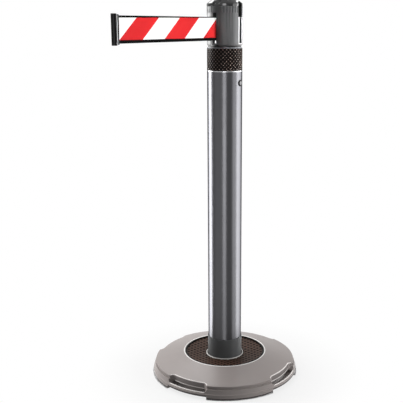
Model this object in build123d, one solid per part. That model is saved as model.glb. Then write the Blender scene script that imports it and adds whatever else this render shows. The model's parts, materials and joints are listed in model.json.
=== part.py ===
from build123d import *

import os
from math import asin, atan2, cos, degrees, hypot, pi, sin, sqrt

# Retractable belt queue pole. Millimetres, +Z up, origin on the pole's axis at floor level.
# The belt is drawn out along -X. The other three sides of the head take other poles' clips.

# Fits
slip = 0.1  # radial room of a piece that is pushed into or over another
run = 0.05  # radial room of a bush on its shaft
air = 0.3  # room between pieces that move past each other
bolt_room = 0.5  # radial room of a screw in a plain hole
past = 1.0  # a cut runs this far past the faces that it opens

# Base
base_od = 352.0
foot_clear = 1.0  # the shell's edge stands this far off the floor
foot_band_h = 13.5
foot_step = 1.5  # the side steps in above the foot band
rim_h = 31.0  # height of the edge between side and top
rim_inset = 4.0  # how far the side leans in up to that edge
rim_edge_r = 1.5
rim_under = 2.0  # the wall below that edge leans back in
ledge_h = 23.2  # ledge at the foot of that wall
ledge_w = 4.0
ledge_edge_r = 0.8
foot_edge_r = 2.5
crown_edge_r = 2.0
crown_od = 201.0
crown_h = 50.0
mat_od = 196.0
mat_recess = 10.0
mat_t = 3.0
mat_edge = 0.5
mat_rise = 4.5  # the mat's bed rises towards its rim
mat_lip_w = 3.5  # plain border that stands up round the mat
mat_lip_drop = 0.2  # from the crown down to that border
upstand_wall = 2.4  # collar round the pole inside the mat
upstand_h = 4.5
shell_wall = 4.0
rail_w = 14.0  # hand-hold rail
rail_low = 7.5
rail_high = 16.0
grip_gap = 12.0  # finger gap behind the rail
grip_roof = 24.0  # height of that gap
grip_cover = 11.0  # the top's edge covers this much of it
grip_span = 36.0  # degrees
grip_turn = -2.0  # degrees from the head's sides to the hand-holds
grip_corner = 8.0
gap_corner = 5.0
ballast_low = 3.0
ballast_t = 21.0
ballast_room = 3.0
ballast_edge = 1.5
head_sink = 1.0  # bolt and screw heads lie this far up inside the ballast
floor_ring_w = 12.0
floor_ring_t = 5.0
floor_ring_edge = 5.0  # from the ballast's rim to the ring
shell_screw_inset = 14.0  # from the mat's rim in to the screws
shell_screw_r = 2.5
shell_screw_head_r = 5.0
shell_screw_head_h = 3.5
shell_screw_grip = 10.0  # thread length in the shell's boss
boss_wall = 4.5

# Pole
tube_od = 80.0
tube_wall = 2.5
tube_len = 707.0
tube_edge = 1.0
boot_len = 51.0
boot_wall = 1.4
boot_room = 1.5  # gap between boot and upstand
boot_foot_h = 3.0  # foot flange, hidden below the mat
boot_edge = 0.9
plug_t = 20.0
plug_edge = 1.5
tie_r = 8.0
tie_head_af = 24.0
tie_head_h = 9.0
tie_washer_r = 15.0
tie_washer_t = 2.5
tie_well_room = 2.0
band_len = 49.0
band_wall = 3.5
band_edge = 0.6
adapter_wall = 4.0
adapter_plug_len = 60.0
adapter_web_t = 6.5
adapter_flange_t = 4.5
adapter_groove = 2.5  # dark line between head and band
adapter_ring_t = 2.1
adapter_ring_inset = 0.5
adapter_shoulder_h = 3.0
fixing_drop = 27.0  # from the tube's top to the fixing screw
fixing_r = 2.5
fixing_head_r = 4.2
fixing_head_h = 1.6
fixing_head_edge = 0.5
cup_r = 7.0
cup_t = 1.6
cup_edge = 0.7

# Head
head_wall = 2.5
head_floor_t = 4.0
head_lip_r = 4.5
slot_w = 9.0
frame_w = 16.0  # raised frame round a slot
frame_t = 0.8
entry_w = 17.0  # wide part of a slot, where a clip's T goes in from above
entry_h = 23.0
tee_depth = 4.7  # room for a clip's T behind the wall
liner_wall = 1.4
liner_floor_t = 2.5
flute_r = 1.6
flute_depth = 0.9
flute_h = 14.0
flute_pitch = 9.5  # degrees
flute_half_count = 3
cap_rim_h = 6.0
cap_overhang = 0.3
cap_shoulder_h = 8.0
cap_shoulder_in = 11.0
cap_dome_h = 6.0
cap_edge_r = 4.0
cap_rim_r = 2.0
cap_low_r = 1.0
lid_room = 1.0  # round the channels
cap_screw_r = 2.0
cap_screw_len = 32.0
cap_screw_head_r = 4.0
cap_screw_head_h = 3.0
cap_plug_r = 7.0
cap_plug_t = 2.2
cap_plug_sink = 0.8
cap_plug_edge = 0.8
head_screw_inset = 8.5  # from the adapter's inner wall to the screws
head_screw_r = 2.0
head_screw_head_r = 3.8
head_screw_head_h = 2.8
head_boss_h = 4.5
head_boss_wall = 2.0

# Reel
belt_w = 50.0
belt_t = 0.6
belt_out = 349.5  # belt that shows between the head and the clip
belt_low = 6.0  # from a slot's floor to the belt's lower edge
flange_t = 2.0
flange_room = 1.0  # beside the belt and beside the liners
roll_edge = 1.3  # flange that shows past a full roll
hub_r = 17.0
hub_wall = 1.5
shaft_r = 5.0
shaft_neck_r = 4.0
shaft_collar_r = 9.0
nut_af = 17.0
nut_h = 6.5
nut_well_r = 14.0
bush_wall = 2.0
bush_len = 6.0
bush_flange_r = 9.0
bush_flange_t = 1.6
spring_t = 0.5
spring_turns = 6
spring_edge = 2.0  # from the bushes to the spring
spring_tail = 2.5
spring_start = 2.0  # from the shaft to the innermost turn
spring_room = 0.9  # from the outermost turn to the hub
guide_r = 2.5
guide_seat = 1.5  # depth of the post's socket in the floor
mouth_h = 9.0  # slot above the belt where it comes out
mouth_margin = 2.0
bridge_t = 3.0
brake_inset = 2.0  # from the flange's rim in to the brake drum
brake_shoe_w = 5.0
brake_shoe_h = 8.0
brake_shoe_span = 120.0  # degrees
brake_gap = 3.0
brake_wall = 2.0
brake_plate_t = 3.0
brake_roof_gap = 3.0
brake_pin_r = 1.5

# Clip
clip_mouth_w = 8.6
clip_mouth_len = 0.8
clip_flange_w = 11.0
clip_flange_t = 3.2
clip_neck_room = 1.0  # of the neck in a slot
clip_neck_len = 4.6
clip_tee_room = 5.0  # of the T in a receiver, side to side
clip_tee_play = 1.9  # and front to back
clip_low_over = 1.2  # past the belt's edges at the belt
clip_high_over = 3.5  # and at the T
clip_edge_r = 0.6
clip_corner_r = 1.2
clip_groove_w = 4.0
clip_groove_d = 1.0
clip_pin_in = 3.6  # from the clip's mouth to its pin
clip_pin_r = 1.4
clip_pin_end = 1.0  # pin past the belt's edge

# Radii that follow
base_r = base_od / 2
rim_r = base_r - foot_step - rim_inset
ledge_in = rim_r - rim_under
crown_r = crown_od / 2
mat_r = mat_od / 2
tube_r = tube_od / 2
bore_r = tube_r - tube_wall
boot_r = tube_r + slip + boot_wall
upstand_in = boot_r + boot_room
upstand_out = upstand_in + upstand_wall
grip_out = base_r - rail_w
grip_in = grip_out - grip_gap
grip_edge = grip_in + grip_cover
well_r = grip_in - shell_wall
ballast_r = well_r - ballast_room
floor_ring_out = ballast_r - floor_ring_edge
head_r = tube_r
cavity_r = head_r - head_wall
tee_face = sqrt(cavity_r**2 - (entry_w / 2) ** 2)
tee_back = tee_face - tee_depth
liner_back = tee_back - liner_wall
liner_w = entry_w + 2 * liner_wall
flange_r = liner_back - flange_room
full_roll_r = flange_r - roll_edge
roll_r = sqrt(full_roll_r**2 - belt_out * belt_t / pi)
bush_r = shaft_r + run + bush_wall
brake_drum_out = flange_r - brake_inset
brake_drum_in = brake_drum_out - brake_wall
brake_shoe_r = brake_drum_in - brake_gap - brake_shoe_w / 2
cap_r = head_r + cap_overhang
band_in = tube_r - band_wall
shoulder_r = tube_r - tube_wall / 2
adapter_in = band_in - adapter_wall
head_screw_at = adapter_in - head_screw_inset
shell_screw_at = mat_r - shell_screw_inset
fixing_seat = tube_r + cup_t / 3
bend_r = guide_r + air + belt_t / 2  # belt round the guide post
wrap_r = roll_r + air + belt_t / 2  # belt where it meets the roll
loop_r = clip_pin_r + slip + belt_t

# Levels that follow
ballast_top = ballast_low + ballast_t
recess_z = crown_h - mat_recess
tube_top = ballast_top + tube_len
band_top = tube_top + band_len
head_z = band_top + adapter_flange_t
head_floor = head_z + head_floor_t
slot_z = head_floor + liner_floor_t
belt_z = slot_z + belt_low
belt_top = belt_z + belt_w
belt_mid = belt_z + belt_w / 2
shell_top = belt_top + entry_h
cap_rim_top = shell_top + cap_rim_h
cap_shoulder_z = cap_rim_top + cap_shoulder_h
cap_top = cap_shoulder_z + cap_dome_h
spool_z = belt_z - flange_room - flange_t
spool_top = belt_top + flange_room + flange_t
bush_low = spool_z - bush_flange_t
shoe_z = spool_top + flange_room
shoe_top = shoe_z + brake_shoe_h
brake_plate_z = shoe_top + brake_roof_gap
brake_plate_top = brake_plate_z + brake_plate_t
fixing_z = tube_top - fixing_drop
tie_head_z = ballast_low + head_sink
tie_seat = tie_head_z + tie_head_h
screw_seat = ballast_low + head_sink + shell_screw_head_h
spring_low = spool_z + bush_len + spring_edge
spring_high = spool_top - bush_len - spring_edge
cap_plug_z = cap_top - cap_plug_t - cap_plug_sink
cap_screw_seat = cap_plug_z - cap_screw_head_h - air
clip_pin_z = belt_z - clip_pin_end
guide_low = slot_z - guide_seat
bridge_z = belt_top + 2 * air
guide_high = bridge_z + bridge_t

# Places along the belt that follow
clip_x = -(head_r + belt_out)
clip_neck_w = slot_w - clip_neck_room
clip_tee_w = entry_w - clip_tee_room
clip_tee_t = tee_depth - clip_tee_play
clip_len = clip_flange_t + clip_neck_len + clip_tee_t
loop_x = clip_x - clip_pin_in
guide_x = -(tee_back + guide_r + slip)


def disc(radius, low, high):
    return Pos(0, 0, low) * extrude(Circle(radius), high - low)


def ring(outer, inner, low, high):
    return Pos(0, 0, low) * extrude(Circle(outer) - Circle(inner), high - low)


def block(x, y, z):
    size = [high - low for low, high in (x, y, z)]
    middle = [(high + low) / 2 for low, high in (x, y, z)]
    return Pos(*middle) * Box(*size)


def turned(points, radii=0):
    outline = FilletPolyline(*points, radius=radii, close=True)
    return revolve(Plane.XZ * make_face(outline), Axis.Z)


def spread(shape, angles):
    return [Rot(0, 0, angle) * shape for angle in angles]


def sector(inner, outer, span, corner):
    near = CenterArc((0, 0), inner, -span / 2, span)
    far = CenterArc((0, 0), outer, -span / 2, span)
    sides = [Line(near @ end, far @ end) for end in (0, 1)]
    return fillet(make_face([near, far, *sides]).vertices(), corner)


def top_rim(shape):
    return shape.edges().group_by(Axis.Z)[-1].sort_by(SortBy.RADIUS)[-1]


def upright(sketch, low, high):
    return Pos(0, 0, low) * extrude(sketch, high - low)


quarters = [0, 90, 180, 270]
grips = [angle + grip_turn for angle in quarters]
receivers = [0, 90, 270]
mouth_angle = 180
diagonals = [45, 135, 225, 315]
brake_angles = [0, 180]


# Base
def top_height(radius):
    fall = (crown_h - rim_h) / (rim_r - crown_r)
    return crown_h - (radius - crown_r) * fall


def bed_height(radius):
    return recess_z + mat_rise * (radius - upstand_out) / (mat_r - upstand_out)


def make_base_shell():
    outline = [
        (upstand_in, ballast_top),
        (upstand_in, recess_z + upstand_h),
        (upstand_out, recess_z + upstand_h),
        (upstand_out, recess_z),
        (mat_r, bed_height(mat_r)),
        (mat_r, crown_h),
        (crown_r, crown_h),
        (rim_r, rim_h),
        (ledge_in, ledge_h),
        (ledge_in + ledge_w, ledge_h),
        (base_r - foot_step, foot_band_h),
        (base_r, foot_band_h - foot_step),
        (base_r, foot_clear),
        (well_r, foot_clear),
        (well_r, top_height(well_r) - shell_wall),
        (mat_r, recess_z - shell_wall),
        (upstand_out + shell_wall, recess_z - shell_wall),
        (upstand_out + shell_wall, ballast_top),
    ]
    softened = {6: crown_edge_r, 7: rim_edge_r, 9: ledge_edge_r, 12: foot_edge_r}
    shell = turned(outline, [softened.get(i, 0) for i in range(len(outline))])
    roof_z = recess_z - shell_wall
    pilot_z = ballast_top + shell_screw_grip + past
    boss = Pos(shell_screw_at) * disc(shell_screw_r + boss_wall, ballast_top, roof_z)
    pilot = Pos(shell_screw_at) * disc(shell_screw_r + slip, ballast_top, pilot_z)
    shell = shell + spread(boss, diagonals)
    shell = shell - spread(pilot, diagonals)
    # Each hand-hold is a low rail with a finger gap behind it, and a notch under the rail.
    outside = base_r + 2 * grip_corner
    finger_gap = sector(grip_in, grip_out, grip_span, gap_corner)
    rim_gap = sector(grip_edge, outside, grip_span, grip_corner)
    notch = sector(grip_in, outside, grip_span, grip_corner)
    shell = shell - spread(upright(finger_gap, 0, grip_roof), grips)
    shell = shell - spread(upright(rim_gap, rail_high, crown_h), grips)
    return shell - spread(upright(notch, 0, rail_low), grips)


def make_ballast_plate():
    plate = disc(ballast_r, ballast_low, ballast_top)
    plate = chamfer(plate.edges(), ballast_edge)
    groove_in = floor_ring_out - floor_ring_w - slip
    plate = plate - ring(floor_ring_out + slip, groove_in, ballast_low, floor_ring_t)
    plate = plate - disc(tie_washer_r + tie_well_room, ballast_low, tie_seat + tie_washer_t)
    plate = plate - disc(tie_r + bolt_room, ballast_low, ballast_top)
    screw_hole = disc(shell_screw_head_r + bolt_room, ballast_low, screw_seat)
    screw_hole = screw_hole + disc(shell_screw_r + bolt_room, ballast_low, ballast_top)
    return plate - spread(Pos(shell_screw_at) * screw_hole, diagonals)


def make_floor_ring():
    return ring(floor_ring_out, floor_ring_out - floor_ring_w, 0, floor_ring_t)


def make_base_mat():
    inner = upstand_out + slip
    outer = mat_r - slip
    lip_in = outer - mat_lip_w
    lip_top = crown_h - mat_lip_drop
    outline = [
        (inner, bed_height(inner)),
        (inner, bed_height(inner) + mat_t),
        (lip_in, bed_height(lip_in) + mat_t),
        (lip_in, lip_top),
        (outer, lip_top),
        (outer, bed_height(outer)),
    ]
    return turned(outline, [0, 0, 0, mat_edge, mat_edge, 0])


def make_shell_screws():
    shank_top = ballast_top + shell_screw_grip
    head = disc(shell_screw_head_r, screw_seat - shell_screw_head_h, screw_seat)
    shank = disc(shell_screw_r, screw_seat, shank_top)
    return spread(Pos(shell_screw_at) * (head + shank), diagonals)


# Pole foot
def make_tie_bolt():
    head = upright(RegularPolygon(tie_head_af / sqrt(3), 6), tie_head_z, tie_seat)
    return head + disc(tie_r, tie_seat, ballast_top + plug_t)


def make_tie_washer():
    return ring(tie_washer_r, tie_r + bolt_room, tie_seat, tie_seat + tie_washer_t)


def make_tube_plug():
    plug = ring(bore_r - slip, tie_r + slip, ballast_top, ballast_top + plug_t)
    return chamfer(top_rim(plug), plug_edge)


def fixing_sides(shape):
    return spread(shape, [90, 270])


def radial_rod(radius, start, end):
    return Pos(start, 0, fixing_z) * Rot(0, 90, 0) * extrude(Circle(radius), end - start)


def make_pole_tube():
    tube = ring(tube_r, bore_r, ballast_top, tube_top)
    tube = chamfer(top_rim(tube), tube_edge)
    return tube - fixing_sides(radial_rod(fixing_r + bolt_room, 0, tube_r + past))


def make_pole_boot():
    boot = ring(boot_r, tube_r + slip, recess_z, recess_z + boot_len)
    boot = boot + ring(upstand_in - slip, tube_r + slip, recess_z - boot_foot_h, recess_z)
    return chamfer(top_rim(boot), boot_edge)


# Pole top
def make_head_adapter():
    groove_r = head_r - adapter_groove
    ring_r = head_r - adapter_ring_inset
    outline = [
        (nut_well_r, head_z),
        (groove_r, head_z),
        (groove_r, band_top + adapter_ring_t),
        (ring_r, band_top + adapter_ring_t),
        (ring_r, band_top),
        (band_in - slip, band_top),
        (band_in - slip, tube_top + adapter_shoulder_h),
        (shoulder_r, tube_top + adapter_shoulder_h),
        (shoulder_r, tube_top),
        (bore_r - slip, tube_top),
        (bore_r - slip, tube_top - adapter_plug_len),
        (adapter_in, tube_top - adapter_plug_len),
        (adapter_in, head_z - adapter_web_t),
        (nut_well_r, head_z - adapter_web_t),
    ]
    adapter = turned(outline)
    adapter = adapter - fixing_sides(radial_rod(fixing_r + slip, 0, tube_r))
    hole = disc(head_screw_r + bolt_room, head_z - adapter_web_t, head_z)
    return adapter - spread(Pos(head_screw_at) * hole, diagonals)


def make_grip_band():
    shoulder_top = tube_top + adapter_shoulder_h + slip
    outline = [
        (band_in, band_top),
        (tube_r - band_edge, band_top),
        (tube_r, band_top - band_edge),
        (tube_r, tube_top + band_edge),
        (tube_r - band_edge, tube_top),
        (shoulder_r + slip, tube_top),
        (shoulder_r + slip, shoulder_top),
        (band_in, shoulder_top),
    ]
    return turned(outline)


def make_adapter_cups():
    cup = radial_rod(cup_r, bore_r, tube_r + cup_t)
    cup = chamfer(cup.edges().sort_by(Axis.X)[-1], cup_edge)
    cup = cup - disc(tube_r + run, fixing_z - cup_r - past, fixing_z + cup_r + past)
    cup = cup - radial_rod(fixing_head_r + air, fixing_seat, tube_r + cup_t + past)
    return fixing_sides(cup - radial_rod(fixing_r + bolt_room, 0, tube_r + cup_t))


def make_adapter_screws():
    head = radial_rod(fixing_head_r, fixing_seat, fixing_seat + fixing_head_h)
    head = chamfer(head.edges().sort_by(Axis.X)[-1], fixing_head_edge)
    return fixing_sides(head + radial_rod(fixing_r, adapter_in - past, fixing_seat))


# Head
def make_head_shell():
    outline = [
        (shaft_r + slip, head_z),
        (head_r, head_z),
        (head_r, shell_top),
        (cavity_r, shell_top),
        (cavity_r, head_floor),
        (shaft_r + slip, head_floor),
    ]
    shell = turned(outline, [0, head_lip_r, 0, 0, 0, 0])
    boss_top = head_floor + head_boss_h
    boss = disc(head_screw_r + head_boss_wall, head_floor, boss_top)
    pilot = disc(head_screw_r + slip, head_z, boss_top)
    shell = shell + spread(Pos(head_screw_at) * boss, diagonals)
    shell = shell - spread(Pos(head_screw_at) * pilot, diagonals)
    frame_z = (head_z + head_lip_r, belt_top)
    frame = ring(head_r + frame_t, cavity_r, *frame_z)
    frame = frame & block((0, head_r + past), (-frame_w / 2, frame_w / 2), frame_z)
    shell = shell + spread(frame, receivers)
    through = (tee_back, head_r + past)
    slot = block(through, (-slot_w / 2, slot_w / 2), (slot_z, belt_top + past))
    entry = block(through, (-entry_w / 2, entry_w / 2), (belt_top, shell_top + past))
    shell = shell - spread(slot + entry, receivers)
    mouth = block(through, (-slot_w / 2, slot_w / 2), (slot_z, belt_top + mouth_h))
    shell = shell - Rot(0, 0, mouth_angle) * mouth
    flute_x = head_r - flute_depth + flute_r
    flute = Pos(flute_x) * disc(flute_r, shell_top - flute_h, shell_top + past)
    steps = range(-flute_half_count, flute_half_count + 1)
    angles = [middle + step * flute_pitch for middle in diagonals for step in steps]
    return shell - spread(flute, angles)


def make_receiver_liner():
    whole = Pos((liner_back + head_r) / 2) * Rectangle(head_r - liner_back, liner_w)
    whole = whole & Circle(cavity_r - slip)
    room = Pos((tee_back + head_r) / 2) * Rectangle(head_r - tee_back, entry_w)
    return upright(whole - room, slot_z, shell_top) + upright(whole, head_floor, slot_z)


def make_belt_mouth():
    # The belt comes through the back wall, past a post held between the floor and a bridge.
    across = (-entry_w / 2, entry_w / 2)
    window_z = (belt_z - mouth_margin, bridge_z)
    window = block((liner_back - past, tee_back), across, window_z)
    bridge = block((liner_back, tee_face), across, (bridge_z, guide_high))
    mouth = make_receiver_liner() - window + bridge
    mouth = Rot(0, 0, mouth_angle) * mouth
    return mouth - Pos(guide_x, bend_r) * disc(guide_r + slip, guide_low, guide_high)


def make_guide_pin():
    return Pos(guide_x, bend_r) * disc(guide_r, guide_low, guide_high)


def make_head_screws():
    seat = head_z - adapter_web_t
    head = disc(head_screw_head_r, seat - head_screw_head_h, seat)
    shank = disc(head_screw_r, seat, head_floor + head_boss_h)
    return spread(Pos(head_screw_at) * (head + shank), diagonals)


def make_head_lid():
    # A plate inside the shell's top that the cap sits on, notched round the four channels.
    lid = disc(cavity_r - slip, brake_plate_top, shell_top)
    side = liner_w / 2 + lid_room
    channel = block((liner_back - lid_room, head_r), (-side, side), (brake_plate_top, shell_top))
    lid = lid - spread(channel, quarters)
    return lid - disc(cap_screw_r + bolt_room, brake_plate_top, shell_top)


def make_head_cap():
    flat_r = cap_r - cap_shoulder_in
    dome_r = (flat_r**2 + cap_dome_h**2) / (2 * cap_dome_h)
    rise = sqrt(dome_r**2 - (flat_r / 2) ** 2) - (dome_r - cap_dome_h)
    low_edge = (cap_r, shell_top)
    rim_edge = (cap_r, cap_rim_top)
    top_edge = (flat_r, cap_shoulder_z)
    shoulder = Polyline((0, shell_top), low_edge, rim_edge, top_edge)
    dome = ThreePointArc(top_edge, (flat_r / 2, cap_shoulder_z + rise), (0, cap_top))
    centre = Line((0, cap_top), (0, shell_top))
    section = make_face([*shoulder.edges(), dome, centre])
    rounds = ((low_edge, cap_low_r), (rim_edge, cap_rim_r), (top_edge, cap_edge_r))
    for corner, radius in rounds:
        section = fillet(section.vertices().sort_by_distance(corner)[0], radius)
    cap = revolve(Plane.XZ * section, Axis.Z)
    through = (tee_back, cap_r + past)
    entry = block(through, (-entry_w / 2, entry_w / 2), (shell_top, cap_top))
    cap = cap - spread(entry, receivers)
    cap = cap - disc(cap_plug_r + slip, cap_plug_z, cap_top)
    cap = cap - disc(cap_screw_head_r + air, cap_screw_seat, cap_top)
    return cap - disc(cap_screw_r + bolt_room, shell_top, cap_top)


def make_cap_screw():
    head = disc(cap_screw_head_r, cap_screw_seat, cap_screw_seat + cap_screw_head_h)
    return head + disc(cap_screw_r, cap_screw_seat - cap_screw_len, cap_screw_seat)


def make_cap_plug():
    plug = disc(cap_plug_r, cap_plug_z, cap_plug_z + cap_plug_t)
    return fillet(top_rim(plug), cap_plug_edge)


# Reel
def make_spool_shaft():
    collar_top = bush_low - air
    shaft = disc(shaft_r, head_z - nut_h, brake_plate_z)
    shaft = shaft + disc(shaft_collar_r, head_floor, collar_top)
    shaft = shaft + disc(shaft_neck_r, brake_plate_z, brake_plate_top)
    thread = disc(cap_screw_r + slip, cap_screw_seat - cap_screw_len - past, brake_plate_top)
    slot_y = (-spring_t - slip, slip)
    slot_x = (shaft_r - spring_tail - slip, shaft_r + past)
    slot = block(slot_x, slot_y, (spring_low - slip, spring_high + slip))
    return shaft - thread - slot


def make_shaft_nut():
    nut = upright(RegularPolygon(nut_af / sqrt(3), 6), head_z - nut_h, head_z)
    return nut - disc(shaft_r + slip, head_z - nut_h, head_z)


def make_power_spring():
    # Half turns about two centres one step apart, each a step wider than the last.
    start = shaft_r + spring_start
    end = hub_r - hub_wall - spring_room - spring_t
    step = (end - start) / (2 * spring_turns)
    edges = []
    for turn in range(2 * spring_turns):
        lower = turn % 2
        radius = start + turn * step
        for side in (radius, radius + spring_t):
            edges.append(CenterArc((lower * step, 0), side, 180 * lower, 180))
    last = start + (2 * spring_turns) * step
    edges.append(Line((start, 0), (start + spring_t, 0)))
    edges.append(Line((last, 0), (last + spring_t, 0)))
    tail_x = (shaft_r - spring_tail, start + spring_t)
    tail = Pos(sum(tail_x) / 2, -spring_t / 2) * Rectangle(tail_x[1] - tail_x[0], spring_t)
    return upright(make_face(edges) + tail, spring_low, spring_high)


def make_belt_spool():
    core = hub_r - hub_wall
    spool = ring(hub_r, core, spool_z, spool_top)
    spool = spool + ring(flange_r, bush_r, spool_z, spool_z + flange_t)
    spool = spool + ring(flange_r, bush_r, spool_top - flange_t, spool_top)
    seat_r = bush_r + bush_wall
    spool = spool + ring(seat_r, bush_r, spool_z, spool_z + bush_len)
    spool = spool + ring(seat_r, bush_r, spool_top - bush_len, spool_top)
    hole = Pos(brake_shoe_r) * disc(brake_pin_r + slip / 2, spool_top - flange_t, spool_top)
    return spool - spread(hole, brake_angles)


def make_spool_bush(flange_z, body_z):
    bush = ring(bush_r - slip / 2, shaft_r + run, body_z, body_z + bush_len)
    return bush + ring(bush_flange_r, shaft_r + run, flange_z, flange_z + bush_flange_t)


def make_belt_roll():
    return ring(roll_r, hub_r + slip, belt_z, belt_top)


def make_brake_pins():
    pin = disc(brake_pin_r, spool_top - flange_t, shoe_top + past)
    return spread(Pos(brake_shoe_r) * pin, brake_angles)


def make_brake_shoe():
    arc = CenterArc((0, 0), brake_shoe_r, 0, brake_shoe_span)
    shoe = upright(SlotArc(arc, brake_shoe_w), shoe_z, shoe_top)
    return shoe - Pos(brake_shoe_r) * disc(brake_pin_r + run, shoe_z, shoe_top)


def make_brake_housing():
    drum = ring(brake_drum_out, brake_drum_in, shoe_z, brake_plate_z)
    plate = ring(brake_drum_out, shaft_neck_r + slip, brake_plate_z, brake_plate_top)
    return drum + plate


# Belt: straight from the clip to the guide post, round the post, then on to the roll.
def belt_bend(heading):
    edges = []
    for radius in (bend_r - belt_t / 2, bend_r + belt_t / 2):
        edges.append(CenterArc((guide_x, bend_r), radius, -90, heading))
    edges += [Line(edges[0] @ end, edges[1] @ end) for end in (0, 1)]
    return make_face(edges)


def make_belt_strip():
    # The lead crosses from one side of the post to the other side of the roll.
    crossing = asin((bend_r + wrap_r) / hypot(guide_x, bend_r))
    heading = atan2(-bend_r, -guide_x) + crossing
    leave = Vector(guide_x + bend_r * sin(heading), bend_r - bend_r * cos(heading))
    meet = Vector(-wrap_r * sin(heading), wrap_r * cos(heading))
    start = loop_x + loop_r - belt_t / 2
    middle = (leave + meet) / 2
    straight = Pos((start + guide_x) / 2) * Rectangle(guide_x - start, belt_t)
    lead = Rectangle((meet - leave).length, belt_t)
    lead = Pos(middle.X, middle.Y) * Rot(0, 0, degrees(heading)) * lead
    loop = Pos(loop_x) * (Circle(loop_r) - Circle(loop_r - belt_t))
    plan = straight + belt_bend(degrees(heading)) + lead + loop
    return upright(plan, belt_z, belt_top)


def make_belt_clip():
    stations = [
        (0, clip_mouth_w),
        (clip_mouth_len, clip_flange_w),
        (clip_flange_t, clip_flange_w),
        (clip_flange_t, clip_neck_w),
        (clip_len - clip_tee_t, clip_neck_w),
        (clip_len - clip_tee_t, clip_tee_w),
        (clip_len, clip_tee_w),
    ]
    near = [(clip_x - along, width / 2) for along, width in stations]
    far = [(x, -y) for x, y in reversed(near)]
    plan = make_face(FilletPolyline(*near, *far, radius=clip_edge_r, close=True))
    low = belt_w / 2 + clip_low_over
    high = belt_w / 2 + clip_high_over
    end_x = clip_x - clip_len
    side = [(clip_x, low), (end_x, high), (end_x, -high), (clip_x, -low)]
    side = make_face(FilletPolyline(*side, radius=clip_corner_r, close=True))
    side = Pos(0, clip_tee_w / 2, belt_mid) * extrude(Plane.XZ * side, clip_tee_w)
    bar = upright(plan, belt_mid - high, belt_mid + high) & side
    groove_y = (-clip_groove_w / 2, clip_groove_w / 2)
    groove = block((end_x - past, end_x + clip_groove_d), groove_y, (belt_mid - high, belt_mid + high))
    slit_y = (-belt_t / 2 - air, belt_t / 2 + air)
    slit = block((loop_x, clip_x + past), slit_y, (belt_z - air, belt_top + air))
    loop_room = disc(loop_r + slip, belt_z - air, belt_top + air)
    pin_hole = disc(clip_pin_r + run, clip_pin_z, belt_mid + high)
    return bar - groove - slit - Pos(loop_x) * (loop_room + pin_hole)


def make_clip_pin():
    return Pos(loop_x) * disc(clip_pin_r, clip_pin_z, belt_top + clip_pin_end)


parts = {
    "base_shell": make_base_shell(),
    "ballast_plate": make_ballast_plate(),
    "floor_ring": make_floor_ring(),
    "base_mat": make_base_mat(),
    "shell_screws": make_shell_screws(),
    "tie_bolt": make_tie_bolt(),
    "tie_washer": make_tie_washer(),
    "tube_plug": make_tube_plug(),
    "pole_tube": make_pole_tube(),
    "pole_boot": make_pole_boot(),
    "head_adapter": make_head_adapter(),
    "grip_band": make_grip_band(),
    "adapter_cups": make_adapter_cups(),
    "adapter_screws": make_adapter_screws(),
    "head_shell": make_head_shell(),
    "head_screws": make_head_screws(),
    "receiver_liner_back": make_receiver_liner(),
    "receiver_liner_left": Rot(0, 0, 90) * make_receiver_liner(),
    "receiver_liner_right": Rot(0, 0, 270) * make_receiver_liner(),
    "belt_mouth": make_belt_mouth(),
    "guide_pin": make_guide_pin(),
    "head_lid": make_head_lid(),
    "head_cap": make_head_cap(),
    "cap_screw": make_cap_screw(),
    "cap_plug": make_cap_plug(),
    "spool_shaft": make_spool_shaft(),
    "shaft_nut": make_shaft_nut(),
    "power_spring": make_power_spring(),
    "brake_housing": make_brake_housing(),
    "belt_spool": make_belt_spool(),
    "spool_bush_lower": make_spool_bush(bush_low, spool_z),
    "spool_bush_upper": make_spool_bush(spool_top, spool_top - bush_len),
    "belt_roll": make_belt_roll(),
    "brake_pins": make_brake_pins(),
    "brake_shoe_front": make_brake_shoe(),
    "brake_shoe_rear": Rot(0, 0, 180) * make_brake_shoe(),
    "belt_strip": make_belt_strip(),
    "belt_clip": make_belt_clip(),
    "clip_pin": make_clip_pin(),
}

os.makedirs("parts", exist_ok=True)
for name, shape in parts.items():
    solids = shape if isinstance(shape, list) else [shape]
    whole = Compound(children=[solid for piece in solids for solid in piece.solids()])
    export_step(whole, f"parts/{name}.step")
print("overall height", round(cap_top, 1), "base", base_od, "roll radius", round(roll_r, 2))
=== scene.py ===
import json
import math

import bmesh
import bpy
from mathutils import Matrix, Vector

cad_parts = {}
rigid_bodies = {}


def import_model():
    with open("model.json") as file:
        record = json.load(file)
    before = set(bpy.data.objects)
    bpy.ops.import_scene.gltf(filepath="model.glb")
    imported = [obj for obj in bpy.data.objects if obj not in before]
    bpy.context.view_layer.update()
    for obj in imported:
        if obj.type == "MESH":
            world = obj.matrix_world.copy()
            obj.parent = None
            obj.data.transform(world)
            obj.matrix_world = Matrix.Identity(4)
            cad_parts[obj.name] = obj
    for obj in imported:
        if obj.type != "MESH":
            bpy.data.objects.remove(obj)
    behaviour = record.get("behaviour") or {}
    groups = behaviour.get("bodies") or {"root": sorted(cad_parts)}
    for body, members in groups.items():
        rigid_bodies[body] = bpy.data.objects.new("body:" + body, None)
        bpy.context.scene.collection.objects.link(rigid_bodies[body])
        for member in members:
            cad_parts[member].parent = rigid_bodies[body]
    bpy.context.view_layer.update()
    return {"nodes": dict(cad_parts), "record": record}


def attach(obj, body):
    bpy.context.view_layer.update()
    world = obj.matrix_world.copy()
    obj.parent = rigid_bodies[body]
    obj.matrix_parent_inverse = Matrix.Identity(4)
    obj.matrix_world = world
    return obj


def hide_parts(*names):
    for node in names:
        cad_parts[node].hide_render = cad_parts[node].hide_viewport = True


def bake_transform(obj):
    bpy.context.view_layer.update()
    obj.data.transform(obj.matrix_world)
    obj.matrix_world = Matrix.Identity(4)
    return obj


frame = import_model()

nodes = frame["nodes"]
mm = 0.001  # settings are in millimetres, meshes in metres
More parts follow.
